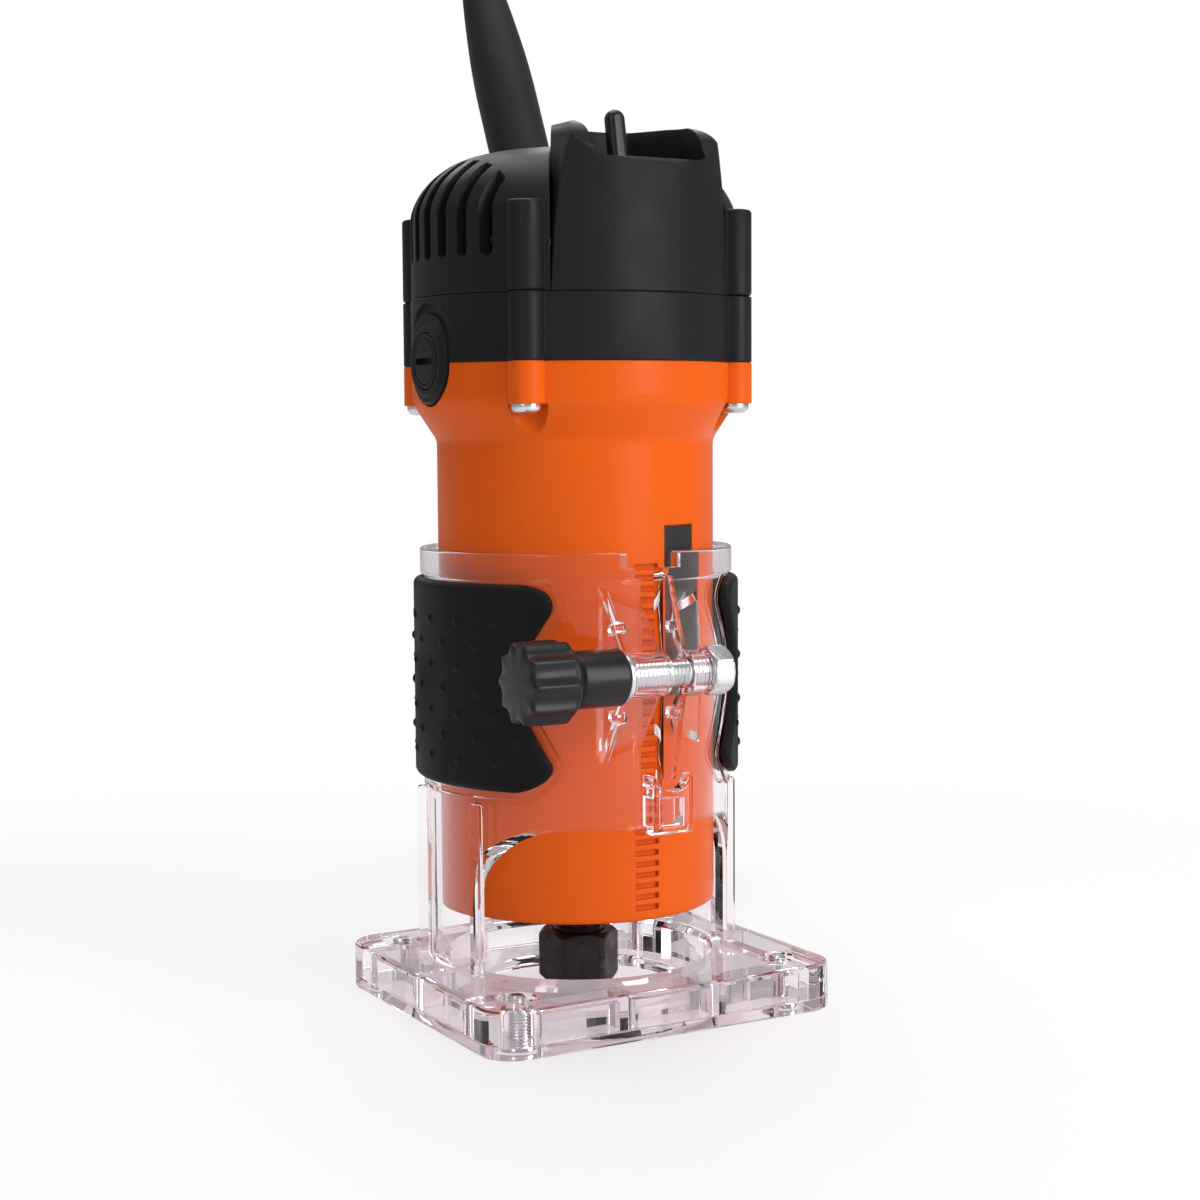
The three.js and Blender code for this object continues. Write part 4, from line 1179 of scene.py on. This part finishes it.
class ROUTER_OT_head_fittings(bpy.types.Operator):
    """Column screws, brush caps, switch lever and cord guard"""

    bl_idname = "router.head_fittings"
    bl_label = "Head fittings"

    def execute(self, context):
        for k, (x, y) in enumerate(HEAD_CORNERS):
            piece(f"column_screw_{k + 1}", moved(spun(self.screw(), 25 + 31 * k), x, y), "motor",
                  finish_of("zinc"), [f"head_screw_{k + 1}"])
        for name, side in (("left", -1), ("right", 1)):
            piece(f"slotted_cap_{name}", self.cap(side), "motor", finish_of("head"),
                  [f"brush_cap_{name}"])
        piece("toggle_lever", self.lever(), "lever", finish_of("knob"),
              ["switch_lever"])
        profile = rounded([(0, -9, 0), (8.6, -9), (8.6, -7), (7.3, -6.6), (7.3, 28, 12), (6, 44, 9),
                           (4.7, 55, 5), (4.6, GUARD_LENGTH - 0.2, 1.2), (3.4, GUARD_LENGTH, 0.3),
                           (0, GUARD_LENGTH, 0)], 0.4, 5, closed=False)
        piece("lead_guard", leaning(turned(profile, 72, closed=False)), "motor",
              finish_of("lead"), ["cord_guard"])
        return {"FINISHED"}

    def screw(self):
        """Pan head under the boss, its cross slot cut from below, and a shank up the column."""
        body = turned(rounded([(0, 138.4, 0), (2.5, 138.4, 0.8), (3.5, 139.4, 0.6), (3.5, 140.8, 0.2),
                               (1.6, 140.8, 0), (1.6, 176, 0), (0, 177.2, 0)], 0.3, 4, closed=False),
                      40, closed=False)
        return self.crossed(body, 138.0, 139.5)

    def crossed(self, body, z0, z1):
        """The screw with two crossed slots; given back as points and faces."""
        mesh = carved(body, cuts=[block(-2.1, 2.1, -0.42, 0.42, z0, z1),
                                  block(-0.42, 0.42, -2.1, 2.1, z0, z1)])
        return taken(mesh)

    def cap(self, side):
        """A screw-in brush cap with a turned ring and one slot."""
        span = lambda a, b: sorted((side * a, side * b))
        disc = along_x(rod(6.3, *span(35.2, 38.9), segments=64, edge=0.4), 0, BRUSH_Z)
        ring = turned([(5.1, 0), (5.5, 0), (5.5, 1), (5.1, 1)], 64)
        rings = along_x(moved(ring, 0, 0, 38.65 if side > 0 else -39.65), 0, BRUSH_Z)
        slot = block(side * 38.2 - 0.9, side * 38.2 + 0.9, -4.6, 4.6, BRUSH_Z - 0.75, BRUSH_Z + 0.75)
        return carved(disc, cuts=[rings, slot])

    def lever(self):
        """A rounded paddle on a pivot, leaning back: (y, z) turned by the lean about the pivot."""
        tip = arc(0, LEVER_LENGTH - 2.35, 2.3, 0, 180, 14)
        outline = np.concatenate([tip, [(-2.5, 0), (2.5, 0)]])
        paddle = stood_up(slab(outline, soft(-1.9, 1.9, 1.7, 1.7, 7)))
        mesh = carved(paddle, joins=[along_x(rod(2.9, -2.6, 2.6, segments=40, edge=0.4))])
        return tilted(taken(mesh), LEVER_LEAN, [0, SWITCH_Y, SWITCH_PIVOT_Z])


def taken(mesh):
    """A mesh back as points and faces."""
    points = np.empty(len(mesh.vertices) * 3)
    mesh.vertices.foreach_get("co", points)
    return points.reshape(-1, 3), [list(face.vertices) for face in mesh.polygons]


# ---------------------------------------------------------------- base


def pad_half(z):
    """Half the angle a grip pad spans at a height: wide lobes at its ends, and between them a
    bite with straight slanting sides; straight runs between set places."""
    heights = [54.0, 54.25, 54.9, 55.8, 57.0, 58.3, 59.6, 60.8, 62.2, 69.0, 73.0, 75.2, 77.6, 80.0,
               82.2, 86.0, 91.6, 93.6, 95.0, 96.4, 97.8, 98.9, 99.8, 100.4, 100.7]
    halves = [37.5, 40.5, 44.2, 47.4, 50.2, 51.9, 52.6, 52.2, 50.6, 44.4, 40.8, 39.3, 38.7, 39.1,
              40.6, 43.8, 49.4, 51.6, 52.7, 52.9, 52.2, 50.7, 48.2, 45.0, 41.0]
    return np.interp(z, heights, halves)


class ROUTER_OT_base(bpy.types.Operator):
    """Clear base: plate, legs, split sleeve, clamp lugs and depth window, with its sole and screws"""

    bl_idname = "router.base"
    bl_label = "Clear base"

    def execute(self, context):
        piece("clear_sleeve_base", self.moulding(), "base", finish_of("clear"),
              ["base_frame"])
        piece("clear_sole", self.sole(), "base", finish_of("clear"), ["sub_base"])
        for k, (x, y) in enumerate(SOLE_SCREWS):
            piece(f"sole_screw_{k + 1}", moved(self.screw(), x, y), "base", finish_of("zinc"),
                  [f"sub_base_screw_{k + 1}"])
        return {"FINISHED"}

    def plate(self):
        """The moulded plate: round opening, hollows from below and sunk screw holes."""
        outline = rounded_box(-BASE_HALF_X, BASE_HALF_X, BASE_FRONT, BASE_BACK, 8, 12)
        blank = slab(outline, soft(SOLE_THICK, BASE_TOP, 0.35, 0.9, 4))
        opening = slab(circle(31, segments=120), [(0, 0), (9.6, 0), (10.2, -0.3), (11.2, -1.3)])
        pockets = []
        for k in (-1, 0, 1):
            pockets.append(block(24 * k - 10.2, 24 * k + 10.2, -43.1, -37.4, 0, 9.2, 0, 0.8))
            pockets.append(block(24 * k - 10.2, 24 * k + 10.2, 29.6, 35.1, 0, 9.2, 0, 0.8))
        for side in (-1, 1):
            for y in (-17, 9):
                pockets.append(block(side * 39.6 - 3.5, side * 39.6 + 3.5, y - 11, y + 11,
                                     0, 9.2, 0, 0.8))
        bores = together(*(rod(2.4, 0, 9.5, x, y, 24) for x, y in SOLE_SCREWS))
        sinks = together(*(slab(circle(4.2, x, y, 40), [(9.4, 0.3), (9.8, 0), (10.6, 0), (11.3, -0.7)])
                           for x, y in SOLE_SCREWS))
        return carved(blank, cuts=[opening, together(*pockets), bores, sinks])

    def arch(self, y0, y1):
        """The wide window under the sleeve: straight sides, quarter-oval shoulders, flat top."""
        a = np.radians(np.linspace(0, 90, 13))
        shoulder = np.column_stack([20.8 + 11.9 * np.cos(a), 31.1 + 14.4 * np.sin(a)])
        outline = np.concatenate([[(-32.7, 9), (32.7, 9)], shoulder, shoulder[::-1] * [-1, 1]])
        return self.facing_front(outline, y0, y1)

    def facing_front(self, outline, y0, y1, edge=0.0):
        """An outline in (x, z), drawn out along Y."""
        return stood_up(slab(outline, soft(-y1, -y0, edge, edge)))

    def sleeve(self):
        """The sleeve with its rim and ribs, opened by the two arches, the slot and the notches."""
        foot, rim = BASE_TOP - 0.5, SLEEVE_OUT + 0.8
        profile = rounded([
            (SLEEVE_IN, foot, 0), (SLEEVE_OUT, foot, 0), (SLEEVE_OUT, RIM_BOTTOM, 0.5),
            (rim, RIM_BOTTOM + 0.4, 0.4), (rim, SLEEVE_TOP, 0.6), (SLEEVE_IN, SLEEVE_TOP, 0.5)], 0.5, 4)
        notches = [block(SLOT_LEFT, SLOT_RIGHT, -60, -20, 40, 120),
                   block(-7.1, SLOT_LEFT + 1, -60, -20, 104, 120),
                   block(-5.3, SLOT_LEFT + 1, -60, -20, 101.5, 120),
                   block(SLOT_RIGHT - 1, 6.7, -60, -20, 104, 120)]
        ribs = [slab(sector(SLEEVE_OUT - 0.4, 38.0, middle + turn, 1.9, 6), soft(foot, 51, 0, 0.8))
                for middle in (0, 180) for turn in (-22.6, 22.6)]
        return carved(turned(profile, 192), joins=ribs,
                      cuts=[self.arch(-60, -10), self.arch(10, 60), *notches])

    def beads(self):
        """A raised line on the sleeve round each pad, a little outside its outline."""
        z = np.linspace(55.4, 99.4, 60)
        right = np.column_stack([pad_half(z) + 3.4, z])
        lower, upper = right[0, 0], right[-1, 0]
        bottom = np.column_stack([np.linspace(-lower, lower, 40)[1:-1], np.full(38, 51.9)])
        top = np.column_stack([np.linspace(upper, -upper, 40)[1:-1], np.full(38, 101.9)])
        loop = np.concatenate([bottom, right, top, (right * [-1, 1])[::-1]])
        for _ in range(3):
            loop = (np.roll(loop, 1, 0) + 2 * loop + np.roll(loop, -1, 0)) / 4
        made = []
        for middle in (0, 180):
            a = np.radians(loop[:, 0] + middle)
            out = np.column_stack([np.cos(a), np.sin(a), 0 * a])
            path = SLEEVE_OUT * out + np.column_stack([0 * a, 0 * a, loop[:, 1]])
            tangent = unit(np.roll(path, -1, 0) - np.roll(path, 1, 0))
            made.append(swept(path, 0.5, out, np.cross(tangent, out), 10, closed=True))
        return made

    def wing(self, root, tip, thick=1.5):
        """A thin sloping plate between a line on the sleeve and one at the boss."""
        four = np.array([root[0], root[1], tip[1], tip[0]], float)
        normal = unit(np.cross(four[1] - four[0], four[3] - four[0]))
        if normal[2] * (four[0, 2] - CLAMP_Z) > 0:
            normal = -normal
        return hull_of(four, four + normal * thick)

    def web(self, x0, x1, low=(-35.5, 61.5), high=(-35.5, 99)):
        """An upright plate across the slot's side, from the sleeve out to the clamp boss."""
        outline = [(-33.4, low[1] - 1), low, (CLAMP_Y + 1, CLAMP_Z - 4.6),
                   (CLAMP_Y + 1, CLAMP_Z + 4.6), high, (-33.4, high[1] + 1)]
        return along_x(slab(outline, soft(x0, x1, 0.15, 0.15)))

    def boss(self, x0, x1):
        """A round boss that the clamp screw goes through."""
        return along_x(rod(4.9, x0, x1, segments=48, edge=0.4), CLAMP_Y, CLAMP_Z)

    def lugs(self):
        """The two clamp lugs, each with an upper and a lower wing, a web and a boss, and pips."""
        y, low, high = CLAMP_Y, CLAMP_Z - 4.3, CLAMP_Z + 4.3
        left = [self.wing([(-13, -33.4, 100.8), (-3.5, -34.6, 98.2)],
                          [(-13, y + 1, high), (-3.5, y + 1, high)]),
                self.wing([(-13, -33.4, 60.2), (-3.5, -34.6, 62.4)],
                          [(-13, y + 1, low), (-3.5, y + 1, low)]),
                self.web(-13, -11.4), self.boss(-13, SLOT_LEFT)]
        right = [self.wing([(6.4, -33.4, 98.4), (13.6, -32.0, 100.6)],
                           [(1.8, y + 1.4, high), (7, y + 1.4, high)]),
                 self.wing([(6.4, -33.4, 63.0), (14.4, -31.6, 61.0)],
                           [(1.8, y + 1.4, low), (7, y + 1.4, low)]),
                 self.web(SLOT_RIGHT, 3.1, (-40.4, 57), (-38.6, 102.5)), self.boss(SLOT_RIGHT, 7)]
        pips = [along_x(rod(1.35, x0, x1, segments=20, edge=0.3), -38.2, z)
                for x0, x1 in ((-13.2, -9.4), (1.6, 5.4)) for z in (91.0, 71.8)]
        return [*left, *right, *pips]

    def moulding(self):
        """The whole clear moulding: plate, sleeve, beads, lugs and the window's frame, bored out."""
        frame_outline = rounded([
            (-2, 44, 0.8), (8.7, 44, 0.8), (8.7, 57.5, 0.5), (7.9, 57.5, 0.5), (6.6, 54.6, 2),
            (3.6, 53.6, 2), (0.4, 54.6, 2), (-1.2, 57.5, 0.5), (-2, 57.5, 0.5)], 0.5, 4)
        window = self.facing_front(frame_outline, -38.6, -33.5, 0.5)
        hollow = block(0.2, 6.9, -37.2, -33, 45.4, 52.4, 0.4, 0.8)
        stud_hole = along_x(rod(STUD_R + 0.35, -20, 20, segments=40), CLAMP_Y, CLAMP_Z)
        bore = rod(SLEEVE_IN, BASE_TOP + 0.01, SLEEVE_TOP + 1, segments=192)
        return carved(self.plate(), joins=[self.sleeve(), *self.beads(), *self.lugs(), window],
                      cuts=[hollow, stud_hole, bore])

    def sole(self):
        """The flat sheet under the plate, with the cutter's opening and sunk screw holes."""
        outline = rounded_box(-BASE_HALF_X, BASE_HALF_X, BASE_FRONT, BASE_BACK, 8, 12)
        blank = slab(outline, soft(0, SOLE_THICK - 0.05, 0.6, 0.25))
        opening = slab(circle(25, segments=120),
                       [(-1, -0.9), (0.3, -0.4), (0.9, 0), (2.2, 0), (2.7, -0.3), (3.2, -0.7)])
        bores = together(*(rod(2.4, -1, 4, x, y, 24) for x, y in SOLE_SCREWS))
        sinks = together(*(rod(4, -1, 2, x, y, 40) for x, y in SOLE_SCREWS))
        return carved(blank, cuts=[opening, bores, sinks])

    def screw(self):
        """Head sunk in the sole, threaded end standing in the recess on top of the plate."""
        thread = np.column_stack([2.0 - 0.25 * (np.arange(25) % 2), np.linspace(2.4, 11.0, 25)])
        profile = np.concatenate([[(0, 0.2), (3.2, 0.2), (3.5, 0.5), (3.5, 1.7), (2, 1.7)], thread,
                                  [(1.4, 11.6), (0, 11.6)]])
        cross = [block(-1.9, 1.9, -0.4, 0.4, 0, 1.2), block(-0.4, 0.4, -1.9, 1.9, 0, 1.2)]
        return taken(carved(turned(profile, 32, closed=False), cuts=cross))


class ROUTER_OT_grips(bpy.types.Operator):
    """Rubber grip pads with offset rows of nubs"""

    bl_idname = "router.grips"
    bl_label = "Grip pads"

    def execute(self, context):
        nub = context.scene.router_sizes.nub_radius / MM
        for name, middle in (("left", 180), ("right", 0)):
            piece(f"nubbed_pad_{name}", self.pad(middle, nub), "base", finish_of("rubber"),
                  [f"grip_pad_{name}"], angle=70, weighted=False)
        return {"FINISHED"}

    def pad(self, middle, nub):
        """On a grid of angle share u and height z the skin stands off the sleeve by
        rise = full * (0.12 + 0.88 * sqrt(1 - (1 - d)^2)), d the distance in from the border over
        1.6, and by 0.55 * sqrt(1 - (away / nub)^2) more at each nub."""
        inner, full = SLEEVE_OUT + 0.3, 2.1
        rows, columns = 150, 210
        v = np.linspace(0, 1, rows)[:, None]
        z = PAD_LOW + (PAD_HIGH - PAD_LOW) * (0.88 * v + 0.06 - 0.06 * np.cos(math.pi * v))
        u = np.linspace(-1, 1, columns)[None, :]
        u = 0.86 * u + 0.14 * np.sin(u * math.pi / 2)
        half = pad_half(z)
        theta = u * half
        border = np.minimum((1 - np.abs(u)) * half * math.pi / 180 * 37,
                            np.minimum(z - PAD_LOW, PAD_HIGH - z))
        d = np.clip(border / 1.6, 0, 1)
        rise = full * (0.12 + 0.88 * np.sqrt(np.clip(1 - (1 - d) ** 2, 0, 1)))
        for column in range(-5, 6):
            rows_of = (92.0, 81.6, 71.1, 60.7) if column % 2 == 0 else (86.8, 76.4, 65.9)
            for height in rows_of:
                if abs(column * 8.2) > pad_half(np.array([height]))[0] - 6:
                    continue
                away = np.hypot((theta - column * 8.2) * math.pi / 180 * 38, z - height)
                rise = rise + 0.55 * np.sqrt(np.clip(1 - (away / nub) ** 2, 0, 1))
        rise = np.minimum(rise, full + 0.5)
        a = np.radians(theta + middle)
        high = inner + rise
        top = np.stack([high * np.cos(a), high * np.sin(a), z + 0 * a], -1)
        under = np.stack([inner * np.cos(a), inner * np.sin(a), z + 0 * a], -1)
        return sheet_solid(top, under)


def sheet_solid(top, under):
    """Two grids of points, one over the other, closed round their border."""
    rows, columns = top.shape[:2]
    r, c = np.meshgrid(np.arange(rows - 1), np.arange(columns - 1), indexing="ij")
    a = (r * columns + c).ravel()
    upper = np.stack([a, a + 1, a + columns + 1, a + columns], -1)
    count = rows * columns
    edge = np.concatenate([np.arange(columns), np.arange(1, rows) * columns + columns - 1,
                           (rows - 1) * columns + np.arange(columns - 2, -1, -1),
                           np.arange(rows - 2, 0, -1) * columns])
    following = np.roll(edge, -1)
    side = np.stack([following, edge, edge + count, following + count], -1)
    faces = upper.tolist() + (upper[:, ::-1] + count).tolist() + side.tolist()
    return np.concatenate([top.reshape(-1, 3), under.reshape(-1, 3)]), faces


class ROUTER_OT_clamp(bpy.types.Operator):
    """Clamp screw across the slot: fluted knob, threaded stud, washer and hexagon nut"""

    bl_idname = "router.clamp"
    bl_label = "Clamp"

    def execute(self, context):
        sizes = context.scene.router_sizes
        set_there = lambda solid: along_x(solid, CLAMP_Y, CLAMP_Z)
        piece("fluted_knob", set_there(self.knob(sizes.flutes)), "knob", finish_of("knob"),
              ["clamp_knob"], angle=50)
        stud = threaded(STUD_R, 0.28, sizes.stud_pitch / MM, -31.5, 11)
        piece("threaded_stud", set_there(stud), "knob", finish_of("zinc"), ["clamp_stud"],
              angle=25, weighted=False)
        washer = turned(rounded([(3.3, -14.7), (5.6, -14.7), (5.6, -13.5), (3.3, -13.5)], 0.25, 3), 64)
        piece("flat_washer", set_there(washer), "washer", finish_of("zinc"), ["clamp_washer"])
        bore = [(3.8, 12.2), (3.3, 11.7), (3.3, 7.7), (3.8, 7.2)]
        nut = hexagon(10, 7.2, 12.2, bore, 1.0)
        piece("clamp_hexagon_nut", set_there(nut), "base", finish_of("zinc"), ["clamp_nut"],
              angle=26)
        return {"FINISHED"}

    def knob(self, flutes):
        """Radius by angle and length: a turned outline less hollow flutes that run out through
        the end, 1.25 (1 - (2t / 0.9)^2) deep with t the place across a flute, lands between."""
        outline = np.array([(0, -40.0), (4, -39.97), (7.4, -39.85), (8.35, -39.7), (8.7, -39.55),
                            (8.95, -39.3), (9.05, -39), (9.15, -37), (9.2, -34), (9.2, -29.8),
                            (9.1, -29.2), (8.8, -28.7), (8.2, -28.3), (7.2, -28.0), (6.1, -27.8),
                            (5.75, -27.5), (5.6, -27.1), (5.75, -26.6), (6.1, -26.3), (6.3, -25.8),
                            (6.35, -22), (6.35, -15.6), (6.25, -15.2), (5.9, -15.02), (3.2, -15.0),
                            (3.15, -15.6), (3.15, -31.6), (0, -31.8)])
        a = (np.arange(flutes * 24) + 0.5) * TAU / (flutes * 24)
        r, x = outline[:, 0, None], outline[:, 1, None]
        depth = np.interp(outline[:, 1], [-39.9, -39.3, -29.4, -28.2], [0.96, 1, 1, 0])
        depth = np.where(outline[:, 0] > 6.5, depth, 0)[:, None]
        across = (a * flutes / TAU) % 1 - 0.5
        groove = np.clip(1 - (2 * np.abs(across) / 0.9) ** 2, 0, 1)
        radius = r - 1.25 * depth * groove[None]
        rings = np.stack([radius * np.cos(a), radius * np.sin(a), x + 0 * a], -1)
        return loft(rings)


def threaded(radius, depth, pitch, z0, z1, segments=36):
    """Radius by angle and height: r - depth * |2 frac(z / pitch - a / 2pi) - 1|, a V thread
    that grows thinner over the last 0.8 of a pitch at each end."""
    count = int((z1 - z0) / pitch * 6)
    z = np.linspace(z0, z1, count)[:, None]
    a = np.arange(segments) * TAU / segments
    phase = (z / pitch - a / TAU) % 1
    end = np.clip(np.minimum(z - z0, z1 - z) / (pitch * 0.8), 0, 1)
    r = radius - depth * np.abs(2 * phase - 1) - 0.35 * (1 - end)
    rings = np.stack([r * np.cos(a), r * np.sin(a), z + 0 * a], -1)
    bottom, top = (np.zeros((1, segments, 3)) + [0, 0, height] for height in (z0, z1))
    return loft(np.concatenate([bottom, rings, top]))


def hexagon(flats, z0, z1, bore, chamfer, turn=0.0, levels=14):
    """Radius by angle and height: the hexagon's flats / 2 / cos(a), its corners softened and
    never more than a cone that chamfers them at both ends; the bore's (radius, height) steps
    close it inside."""
    a = np.arange(180) * TAU / 180
    wedge = (a - math.radians(turn) + math.pi / 6) % (math.pi / 3) - math.pi / 6
    side = flats / 2 / np.cos(wedge)
    side = -np.log(np.exp(-side * 6) + np.exp(-(flats / math.sqrt(3) - 0.12) * 6)) / 6
    share = np.linspace(0, 1, levels)
    ease = 0.5 - 0.5 * np.cos(share * math.pi)
    z = (z0 + (z1 - z0) * ease)[:, None]
    cone = flats / 2 - 0.15 + np.minimum(z - z0, z1 - z) * chamfer * 1.75
    outer = np.minimum(side[None], cone)
    rings = [np.stack([outer * np.cos(a), outer * np.sin(a), z + 0 * a], -1)]
    steps = np.array(bore, float)
    rings.append(np.stack([steps[:, :1] * np.cos(a), steps[:, :1] * np.sin(a),
                           steps[:, 1:] + 0 * a], -1))
    return loft(np.concatenate(rings), closed=True)


class ROUTER_OT_collet(bpy.types.Operator):
    """Collet nut, collet and the threaded spindle nose"""

    bl_idname = "router.collet"
    bl_label = "Collet and nut"

    def execute(self, context):
        bore = [(6.7, NUT_TOP), (6.2, NUT_TOP - 0.5), (6.2, 8.2), (4.7, 8.2), (4.7, NUT_BOTTOM + 0.4),
                (5.1, NUT_BOTTOM)]
        nut = hexagon(17, NUT_BOTTOM, NUT_TOP, bore, 0.62, turn=9, levels=22)
        piece("collet_lock_nut", nut, "collet_nut", finish_of("blacked"),
              ["collet_nut"], angle=24)
        z = np.linspace(9.4, 22.4, 79)
        thread = 5.9 - 0.42 * np.abs(2 * ((z / 1.25) % 1) - 1)
        profile = np.concatenate([
            [(0, 24), (3.4, 22), (4.8, 9), (5.4, 9)], np.column_stack([thread, z]),
            [(5.9, 22.8), (8.1, 22.8), (8.3, 23.0), (8.3, 26.4), (6, 26.6), (6, 35), (5, 35.4), (5, 140),
             (4, 140.4), (4, 160.4), (3.4, 160.6), (3.4, 170), (0, 170)]])
        piece("motor_spindle", turned(profile, 72, closed=False), "spindle", finish_of("blacked"),
              ["spindle_shaft"], angle=25)
        collet = turned(rounded([(3.2, 4.2), (4.1, 4.2), (4.4, 8.6), (3.6, 17), (3.2, 17)], 0.15, 2), 56)
        slits = [spun(block(-6, 6, -0.3, 0.3, 0, 14), turn) for turn in (0, 45, 90, 135)]
        piece("split_collet", carved(collet, cuts=slits), "collet", finish_of("steel"),
              ["collet"])
        return {"FINISHED"}


# ---------------------------------------------------------------- inner parts


INNER_FINISHES = {
    "brass": ("brush_holder_left", "brush_holder_right"),
    "carbon": ("carbon_brush_left", "carbon_brush_right"),
    "steel": ("brush_spring_left", "brush_spring_right", "lower_bearing_outer",
              "upper_bearing_outer", "lower_bearing_inner", "upper_bearing_inner",
              "cord_clamp_screw_1", "cord_clamp_screw_2"),
    "lamination": ("stator_core", "armature_core"),
    "copper": ("field_coil_front", "field_coil_rear", "armature_winding_lower",
               "armature_winding_upper", "commutator"),
    "grey": ("air_baffle", "fan", "cord_clamp"),
    "knob": ("switch_body",),
}


class ROUTER_OT_inner_parts(bpy.types.Operator):
    """Finishes for the parts inside the motor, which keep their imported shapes"""

    bl_idname = "router.inner_parts"
    bl_label = "Inner parts"

    def execute(self, context):
        for finish, names in INNER_FINISHES.items():
            for name in names:
                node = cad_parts[name]
                node.data.materials.clear()
                node.data.materials.append(finish_of(finish))
        return {"FINISHED"}


# ---------------------------------------------------------------- add-on


class ROUTER_PT_parts(bpy.types.Panel):
    """Sizes, colours and pieces of the router"""

    bl_idname = "ROUTER_PT_parts"
    bl_label = "Trim Router"
    bl_space_type = "VIEW_3D"
    bl_region_type = "UI"
    bl_category = "Router"

    def draw(self, context):
        layout = self.layout
        for group in (context.scene.router_sizes, context.scene.router_colours):
            for name in group.__annotations__:
                layout.prop(group, name)
        for operator in PIECE_OPERATORS:
            layout.operator(operator.bl_idname)


PIECE_OPERATORS = (ROUTER_OT_stage, ROUTER_OT_lead, ROUTER_OT_housing, ROUTER_OT_head,
                   ROUTER_OT_head_fittings, ROUTER_OT_base, ROUTER_OT_grips, ROUTER_OT_clamp,
                   ROUTER_OT_collet, ROUTER_OT_inner_parts)
CLASSES = (RouterSizes, RouterColours, *PIECE_OPERATORS, ROUTER_PT_parts)


def register():
    for kind in CLASSES:
        bpy.utils.register_class(kind)
    bpy.types.Scene.router_sizes = PointerProperty(type=RouterSizes)
    bpy.types.Scene.router_colours = PointerProperty(type=RouterColours)


def unregister():
    del bpy.types.Scene.router_colours
    del bpy.types.Scene.router_sizes
    for kind in reversed(CLASSES):
        bpy.utils.unregister_class(kind)


def main():
    register()
    for operator in PIECE_OPERATORS:
        group, name = operator.bl_idname.split(".")
        getattr(getattr(bpy.ops, group), name)()


if __name__ == "__main__":
    main()
